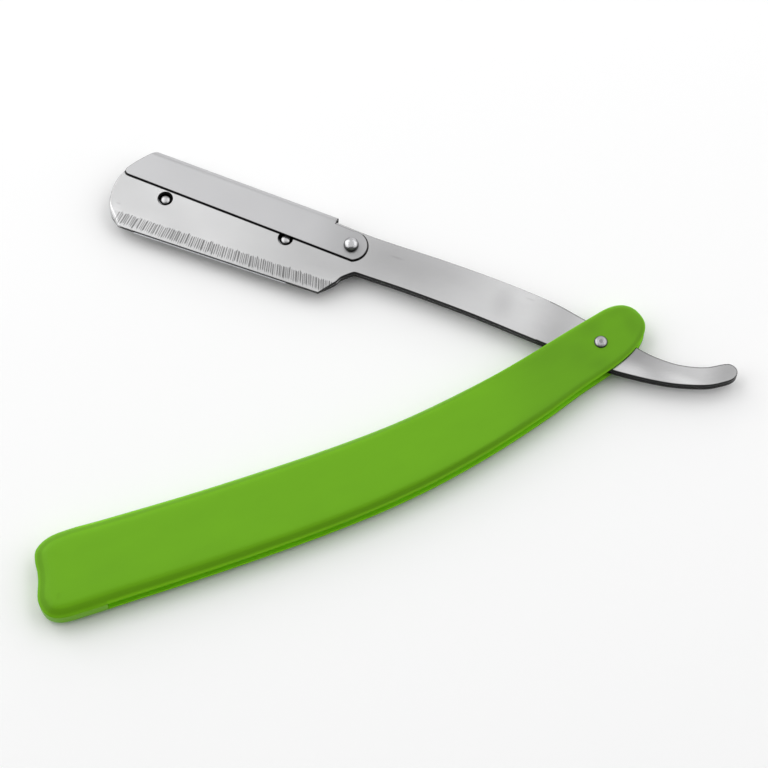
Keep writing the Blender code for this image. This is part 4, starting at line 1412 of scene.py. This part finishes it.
@dataclass(frozen=True)
class Plastic:
    """Satin moulded plastic with a fine grain, soft mottling and a few rubbed streaks, with patches of
    painted reflection, painted light in the slot, and a painted highlight with painted shade above it along
    the front scale's lower edge.

    The waves are how many of a noise's cells go to a metre along x, y and z. Each Pair is where a change
    starts and where it is complete.
    """

    slot_end: float
    colour: Triple = (0.142, 0.384, 0.006)
    roughness: float = 0.42
    specular: float = 0.15
    # Painted light in the slot, as if lit through the plastic, and on the butt's wall beside it.
    slot_painted_light: float = 2.0
    slot_half: float = 0.00150
    slot_fade: float = 0.00009
    end_fade: float = 0.0002
    butt_painted_light: float = 1.25
    # Painted highlight along the front scale's lip, weaker at the butt, and painted shade on the bevel above
    # it.
    lip_heights: Pair = (0.0018, 0.0023)
    lip_highlight: float = 1.38
    butt_lip_highlight: float = 1.12
    bevel_heights: Pair = (0.00270, 0.00295)
    bevel_shade: float = 0.86
    mottle: float = 0.12
    mottle_waves: Triple = (90.0, 220.0, 220.0)
    mottle_roughness: float = 0.06
    rubbed_waves: Triple = (260.0, 2600.0, 2600.0)
    rubbed_fade: Pair = (0.62, 0.70)
    rubbed_roughness: float = 0.07
    grain_size: float = 0.00022
    grain_height: float = 0.000004

    def build(self, name: str, frame: FlatFrame) -> Material:
        """Return the material."""
        tree = Tree(name, frame)
        cloud = tree.noise(tree.scaled(*self.mottle_waves), detail=3.0)
        streak = tree.noise(tree.scaled(*self.rubbed_waves))
        factor = tree.plus(tree.times(tree.minus(cloud, 0.5), self.mottle), 1.0)
        # Painted reflections near the pivot.
        factor = tree.patched(factor, GREEN_PAINTED_REFLECTIONS)
        # Painted light in the slot, and a painted highlight with painted shade at the front scale's lip.
        factor = tree.times(factor, self.painted_slot_light(tree), self.painted_lip_highlight(tree))
        rubbed = tree.ramp(streak, *self.rubbed_fade, 0.0, self.rubbed_roughness)
        rough = tree.plus(self.roughness, tree.times(cloud, self.mottle_roughness))
        tree.dress(
            base_color=tree.tone(self.colour, factor),
            roughness=tree.minus(rough, rubbed),
            specular_ior_level=self.specular,
        )
        tree.bump(tree.noise(tree.scaled(*[1 / self.grain_size] * 3)), self.grain_height)
        return tree.material

    def past_butt(self, tree: Tree, butt: float, scales: float) -> Socket:
        """Return one value on the butt and another where the slot parts the scales."""
        low, high = self.slot_end - self.end_fade, self.slot_end + self.end_fade
        return tree.ramp(tree.axes()[0], low, high, butt, scales)

    def painted_slot_light(self, tree: Tree) -> Socket:
        """Return the painted light in the slot's inside and on the butt's wall beside it, and 1 outside."""
        inside = tree.math("ABSOLUTE", tree.axes()[2])
        tone = self.past_butt(tree, self.butt_painted_light, self.slot_painted_light)
        return tree.ramp(inside, self.slot_half, self.slot_half + self.slot_fade, tone, 1.0)

    def painted_lip_highlight(self, tree: Tree) -> Socket:
        """Return the front scale's edge: a painted highlight at the slot's lip and painted shade above it.
        """
        z = tree.axes()[2]
        tone = self.past_butt(tree, self.butt_lip_highlight, self.lip_highlight)
        lip = tree.ramp(z, *self.lip_heights, tone, self.bevel_shade)
        edge = tree.times(lip, tree.ramp(z, *self.bevel_heights, 1.0, 1 / self.bevel_shade))
        return tree.chosen(tree.math("GREATER_THAN", z, self.slot_half), edge, 1.0)


@dataclass(frozen=True)
class Steel:
    """Bright sheet steel, brushed along its length, with soft patches of painted reflection and painted
    shade, and painted shade on its walls and on its lower face.

    A Pair is where a change starts and where it is complete.
    """

    colour: Triple = (0.629, 0.629, 0.633)
    roughness: float = 0.22
    roughness_spread: float = 0.10
    brush_depth: float = 0.0000010
    brush_waves: float = 60.0
    brush_pitch: float = 0.00014
    cloud_waves: Triple = (75.0, 130.0, 130.0)
    smudge: float = 0.05
    # Painted shade on the walls: near black and without metal, a little lighter on the rear plate's.
    wall_shares: Pair = (0.25, 0.6)
    wall_shade_tone: float = 0.006
    rear_wall_shade_tone: float = 0.040
    core_half: float = 0.0002
    wall_metal: float = 0.0
    wall_specular: float = 0.06
    # Painted shade on the lower face, which looks at the other plate.
    inner_shares: Pair = (0.3, 0.9)
    inner_face_shade: float = 0.12
    painted_light_patches: tuple[Patch, ...] = ()

    def surface(self, name: str, frame: FlatFrame) -> tuple[Tree, Socket]:
        """Start the material and return its tree and the tone that its colour is to be multiplied by."""
        tree = Tree(name, frame)
        waves = 1 / self.brush_pitch
        lines = tree.noise(tree.scaled(self.brush_waves, waves, waves), detail=3.0, roughness=0.6)
        cloud = tree.noise(tree.scaled(*self.cloud_waves), detail=3.0, roughness=0.55)
        tree.bump(lines, self.brush_depth)
        smoothest = self.roughness - self.roughness_spread / 2
        soft = tree.times(tree.minus(cloud, 0.5), 2 * self.smudge)
        fine = tree.times(tree.minus(lines, 0.5), self.smudge)
        tone = tree.patched(tree.plus(tree.plus(soft, fine), 1.0), self.painted_light_patches)
        # Painted shade on the walls and on the lower face that looks at the other plate.
        wall = tree.ramp(tree.attribute("rim_share"), *self.wall_shares)
        z = tree.axes()[2]
        dark = tree.ramp(z, -self.core_half, self.core_half, self.rear_wall_shade_tone, self.wall_shade_tone)
        inner = tree.ramp(tree.attribute("inner_share"), *self.inner_shares, 1.0, self.inner_face_shade)
        tree.dress(
            roughness=tree.plus(smoothest, tree.times(cloud, self.roughness_spread)),
            metallic=tree.toned(wall, self.wall_metal),
            specular_ior_level=self.wall_specular,
        )
        return tree, tree.times(tone, tree.toned(wall, dark), inner)

    def build(self, name: str, frame: FlatFrame) -> Material:
        """Return the material."""
        tree, tone = self.surface(name, frame)
        tree.dress(base_color=tree.tone(self.colour, tone))
        return tree.material


@dataclass(frozen=True, kw_only=True)
class GroundSteel(Steel):
    """Sheet steel whose ground facet carries fine dark scratches across the edge, gathered in clumps.

    The scratches start at the facet's ragged upper border, stop short of the edge, and lean more towards
    the heel. Along the lock's lower edge and round its lug runs a thin dark line, painted shadow of the
    lock's edge together with grime, and a ring of painted shade lies round each window. The outline
    carries painted shade from the tang's end to the tail. The lean's Pair is its value at the nose and at
    the heel.
    """

    lock: Lock
    ragged: float = 0.0021
    ragged_pitch: float = 0.0008
    ragged_length: float = 10.0
    ragged_middle: float = 0.45
    line_pitches: Triple = (0.00130, 0.00078, 0.00050)
    line_weights: Triple = (0.30, 0.55, 1.30)
    line_waver: float = 8.0
    line_limits: Pair = (-1.9, 2.1)
    scratch_pitch: float = 0.00015
    scratch_length: float = 0.012
    scratch_weight: float = 5.0
    scratch_tone: float = 0.34
    scratch_lean: Pair = (-0.21, 0.33)
    scratch_start: Pair = (-0.0001, 0.0003)
    scratch_end: Pair = (0.00216, 0.0030)
    scratch_rest: float = 0.1
    scratch_nose: Pair = (-0.1165, -0.1135)
    scratch_heel: Pair = (-0.0612, -0.0606)
    clump_pitch: float = 0.0007
    clump_length: float = 0.015
    facet_tone: float = 0.93
    facet_fade: float = 0.0006
    # Painted shadow of the lock's edge, with grime, on the plates just outside the lock.
    shadow_and_grime_tone: float = 0.10
    shadow_and_grime_start: Pair = (-0.0002, -0.0001)
    shadow_and_grime_end: Pair = (0.00021, 0.00039)
    # Painted shade in a ring round each window; the window's own wall is lifted hole_tone times out of the
    # walls' painted shade.
    window_shade_fade: Pair = (0.000056, 0.00014)
    window_shade_tone: float = 0.06
    hole_wall: float = 0.000014
    hole_tone: float = 8.0
    # Painted shade along the outline's rounded edges from the tang's end to the tail.
    outlined_from: float = -0.014
    outline_shares: Pair = (0.02, 0.24)
    outline_shade_tone: float = 0.22

    def build(self, name: str, frame: FlatFrame) -> Material:
        """Return the material."""
        tree, tone = self.surface(name, frame)
        x, y, _ = tree.axes()
        tone = tree.times(tone, self.scratches(tree, x, y), self.shadow_and_grime(tree, x, y))
        # A ring of painted shade round each window.
        for window in self.lock.arm.pegs().values():
            out = tree.minus(tree.oval(*window), self.lock.arm.window_radius)
            ring = tree.ramp(out, *self.window_shade_fade, self.window_shade_tone, 1.0)
            wall = tree.math("LESS_THAN", tree.math("ABSOLUTE", out), self.hole_wall)
            tone = tree.times(tone, tree.chosen(wall, self.hole_tone, ring))
        # Painted shade along the outline's rounded edges, from the tang's end to the tail.
        rim = tree.times(tree.attribute("rim_share"), tree.math("GREATER_THAN", x, self.outlined_from))
        tone = tree.times(tone, tree.ramp(rim, *self.outline_shares, 1.0, self.outline_shade_tone))
        tree.dress(base_color=tree.tone(self.colour, tone))
        return tree.material

    def scratches(self, tree: Tree, x: Socket, y: Socket) -> Socket:
        """Return the tone of the facet and its scratches.

        A line's strength is a fine noise plus a few sines of x, which a coarser noise makes waver. Here x is
        sheared by a lean that grows from the nose to the heel.
        """
        border = self.lock.arm.facet_line
        lean = tree.ramp(x, self.scratch_nose[0], self.scratch_heel[0], *self.scratch_lean)
        along = tree.plus(x, tree.times(lean, tree.minus(y, border)))
        fine = tree.noise(tree.cells(along, self.scratch_pitch, y, self.scratch_length), roughness=0.6)
        clump = tree.noise(tree.cells(along, self.clump_pitch, y, self.clump_length), detail=1.0)
        ragged = tree.noise(tree.cells(along, self.ragged_pitch, y, self.ragged_length))
        waver = tree.times(tree.minus(clump, 0.5), self.line_waver)
        lines = tree.times(tree.minus(fine, 0.5), self.scratch_weight)
        for pitch, weight in zip(self.line_pitches, self.line_weights):
            phase = tree.plus(tree.times(along, 2 * np.pi / pitch), waver)
            lines = tree.plus(lines, tree.times(tree.math("SINE", phase), weight))
        line = tree.plus(border, tree.times(tree.minus(ragged, self.ragged_middle), self.ragged))
        depth = tree.minus(line, y)
        strength = tree.times(
            tree.ramp(lines, *self.line_limits),
            tree.ramp(depth, *self.scratch_start),
            tree.ramp(depth, *self.scratch_end, 1.0, self.scratch_rest),
            tree.ramp(x, *self.scratch_nose),
            tree.ramp(x, *self.scratch_heel, 1.0, 0.0),
        )
        facet = tree.ramp(depth, 0.0, self.facet_fade, 1.0, self.facet_tone)
        return tree.times(tree.toned(strength, self.scratch_tone), facet)

    def shadow_and_grime(self, tree: Tree, x: Socket, y: Socket) -> Socket:
        """Return the tone of the dark line just outside the closed lock: painted shadow of the lock's edge,
        with grime.

        How far out a place lies is its distance to the lug's round past the rivet, to the corner's round
        at the nose, and between them how far it lies below the straight lower edge, which rises towards the
        nose.
        """
        foot_x, foot_y = self.lock.foot
        centre = self.lock.corner_centre
        lug = tree.minus(tree.oval(*self.lock.arm.rivet), self.lock.lug_radius)
        corner = tree.minus(tree.oval(*centre), self.lock.corner_radius)
        rise = tree.times(tree.minus(x, foot_x), self.lock.slope)
        edge = tree.minus(tree.plus(rise, foot_y), y)
        out = tree.chosen(tree.math("GREATER_THAN", x, foot_x), lug, edge)
        out = tree.chosen(tree.math("LESS_THAN", x, centre[0]), corner, out)
        # Painted shadow of the lock's edge, with grime, just outside it.
        inner = tree.ramp(out, *self.shadow_and_grime_start, 1.0, 0.0)
        outer = tree.ramp(out, *self.shadow_and_grime_end)
        return tree.ramp(tree.math("MAXIMUM", inner, outer), 0.0, 1.0, self.shadow_and_grime_tone, 1.0)


@dataclass(frozen=True)
class Polished:
    """Polished metal with faint scuffs, darker round the foot of a dome: grime, and painted shade where the
    head meets its seat.

    Where that darkening and the dimple start and end is counted in shares of the largest radius.
    """

    colour: Triple = (0.49, 0.49, 0.50)
    # Grime and painted shade round the foot of each dome.
    roughness: float = 0.20
    shadow_and_grime_start: float = 0.74
    shadow_and_grime_end: float = 0.97
    shadow_and_grime_tone: float = 0.16
    dimple_tone: float = 1.0
    dimple_shares: Pair = (0.21, 0.42)
    scuff_depth: float = 0.000002
    scuff_size: float = 0.0004
    scuff_roughness: float = 0.06

    def build(self, name: str, frame: FlatFrame) -> Material:
        """Return the material."""
        tree = Tree(name, frame)
        scuff = tree.noise(tree.scaled(*[1 / self.scuff_size] * 3), detail=3.0)
        tree.bump(scuff, self.scuff_depth)
        # Grime and painted shade round the foot of the dome.
        out = tree.attribute("out_share")
        shadow_and_grime = tree.ramp(out, self.shadow_and_grime_start, self.shadow_and_grime_end, 1.0, self.shadow_and_grime_tone)
        dimple = tree.ramp(out, *self.dimple_shares, self.dimple_tone, 1.0)
        tree.dress(
            base_color=tree.tone(self.colour, tree.times(shadow_and_grime, dimple)),
            roughness=tree.plus(self.roughness, tree.times(scuff, self.scuff_roughness)),
            metallic=1.0,
        )
        return tree.material


# Studio


@dataclass(frozen=True)
class Softbox:
    """A softbox aimed at the razor, its angles in degrees, its turn counted from the camera's azimuth."""

    name: str
    turn: float
    elevation: float
    distance: float
    width: float
    height: float
    radiance: float


@dataclass
class Studio:
    """Camera, floor, world and lamps."""

    azimuth: float = -23.2103
    elevation: float = 66.5388
    target: Triple = (0.0076118, -0.0221088, 0.00325)
    distance: float = 0.600973
    lens: float = 125.62
    sensor: float = 36.0
    clip_start: float = 0.01
    resolution: int = 768
    floor_half: float = 3.0
    floor_drop: float = 0.0002
    floor_colour: Triple = (0.94, 0.94, 0.94)
    floor_roughness: float = 0.9
    world_grey: float = 0.16
    softboxes: tuple[Softbox, ...] = (
        Softbox("softbox_main", 190, 64, 1.1, 1.6, 1.5, 0.80),
        Softbox("softbox_left", 255, 40, 1.3, 1.8, 1.5, 1.35),
        Softbox("softbox_right", 105, 40, 1.3, 1.8, 1.5, 1.2),
        Softbox("softbox_low", 215, 20, 1.2, 1.0, 0.6, 0.7),
        Softbox("softbox_back", 168, 13, 1.3, 1.0, 0.6, 1.1),
    )

    def aimed(self, thing: bpy.types.Object, azimuth: float, elevation: float, distance: float) -> None:
        """Put a camera or lamp at a distance from the target, looking at it.

        Seen from the target it stands at (sin a cos e, -cos a cos e, sin e), a being its azimuth and e its
        elevation.
        """
        a, e = np.radians([azimuth, elevation])
        back = Vector((np.sin(a) * np.cos(e), -np.cos(a) * np.cos(e), np.sin(e)))
        right = Vector((np.cos(a), np.sin(a), 0))
        turn = Matrix((right, back.cross(right), back)).transposed().to_4x4()
        thing.matrix_world = Matrix.Translation(Vector(self.target) + back * distance) @ turn
        bpy.context.scene.collection.objects.link(thing)

    def add_lamp(self, box: Softbox) -> None:
        """Add a lamp: a softbox of area A that glows evenly with radiance L gives off pi A L."""
        light = bpy.data.lights.new(box.name, "AREA")
        light.shape = "RECTANGLE"
        light.size, light.size_y = box.width, box.height
        light.energy = np.pi * box.width * box.height * box.radiance
        thing = bpy.data.objects.new(box.name, light)
        thing.visible_camera = False
        self.aimed(thing, self.azimuth + box.turn, box.elevation, box.distance)

    def build(self) -> None:
        """Set up the camera, the light and the floor."""
        scene = bpy.context.scene
        camera = bpy.data.objects.new("camera", bpy.data.cameras.new("camera"))
        camera.data.lens = self.lens
        camera.data.sensor_width = self.sensor
        camera.data.clip_start = self.clip_start
        self.aimed(camera, self.azimuth, self.elevation, self.distance)
        scene.camera = camera
        scene.render.resolution_x = self.resolution
        scene.render.resolution_y = self.resolution
        scene.view_settings.view_transform = "Standard"
        world = scene.world or bpy.data.worlds.new("world")
        scene.world = world
        world.use_nodes = True
        background = world.node_tree.nodes["Background"]
        background.inputs["Color"].default_value = (1, 1, 1, 1)
        background.inputs["Strength"].default_value = self.world_grey
        for box in self.softboxes:
            self.add_lamp(box)
        self.add_floor()

    def add_floor(self) -> None:
        """Lay the plain pale floor just under the razor."""
        half, low = self.floor_half, -self.floor_drop
        corners = [(-half, -half, low), (half, -half, low), (half, half, low), (-half, half, low)]
        mesh = bpy.data.meshes.new("floor")
        mesh.from_pydata(corners, [], [(0, 1, 2, 3)])
        floor = bpy.data.objects.new("floor", mesh)
        bpy.context.scene.collection.objects.link(floor)
        material = bpy.data.materials.new("floor_paper")
        material.use_nodes = True
        shader = material.node_tree.nodes["Principled BSDF"]
        shader.inputs["Base Color"].default_value = (*self.floor_colour, 1)
        shader.inputs["Roughness"].default_value = self.floor_roughness
        shader.inputs["Specular IOR Level"].default_value = 0.0
        mesh.materials.append(material)


def main() -> None:
    """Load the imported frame, lay the finished surfaces over it, and write how large each is."""
    logging.basicConfig(level=logging.INFO, format="%(message)s")
    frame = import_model()
    joints = {joint["name"]: joint for joint in frame["record"]["behaviour"]["joints"]}
    origin = np.array(joints["arm_pivot"]["pos_m"])
    edgeward = joints["blade_slide"]["axis"]
    handle_frame = FlatFrame(origin, 0.0)
    arm_frame = FlatFrame(origin, float(np.arctan2(edgeward[0], -edgeward[1])))
    handle, arm, pivot = Handle(handle_frame), Arm(arm_frame), Pivot(handle_frame)
    lock = Lock(arm)
    # Painted shade on the blade deep in each peg window.
    window_shade = tuple(Patch(*place, *WINDOW_SHADE_REACH, WINDOW_SHADE_DEPTH) for place in arm.pegs().values())

    green = Plastic(slot_end=handle.slot_end)
    peened = Polished(colour=(0.37, 0.365, 0.38), roughness=0.32, dimple_tone=0.62)
    brass = Polished(colour=(0.72, 0.53, 0.22), roughness=0.25, shadow_and_grime_tone=0.8)
    polished = Polished()
    dull = Polished(colour=(0.47, 0.47, 0.475), roughness=0.30, shadow_and_grime_start=0.88, shadow_and_grime_tone=0.25)
    ground = GroundSteel(lock=lock, painted_light_patches=PLATE_REFLECTIONS_AND_SHADE)
    satin = Steel(colour=(0.483, 0.483, 0.491), roughness=0.34, smudge=0.02, painted_light_patches=LOCK_REFLECTIONS_AND_SHADE)
    bright = Steel(
        colour=(0.66, 0.67, 0.69), wall_shade_tone=0.6, rear_wall_shade_tone=0.6, wall_metal=1.0, inner_face_shade=1.0,
        painted_light_patches=window_shade,
    )

    handle.build(green.build("green_satin", handle_frame))
    pivot.build(peened.build("pin_peened", handle_frame), brass.build("washer_plain", handle_frame))
    arm.build(ground.build("plate_ground", arm_frame), dull.build("peg_dull", arm_frame))
    lock.build(satin.build("lock_satin", arm_frame), polished.build("rivet_polished", arm_frame))
    Blade(arm_frame).build(bright.build("blade_bright", arm_frame))
    Studio().build()


if __name__ == "__main__":
    main()
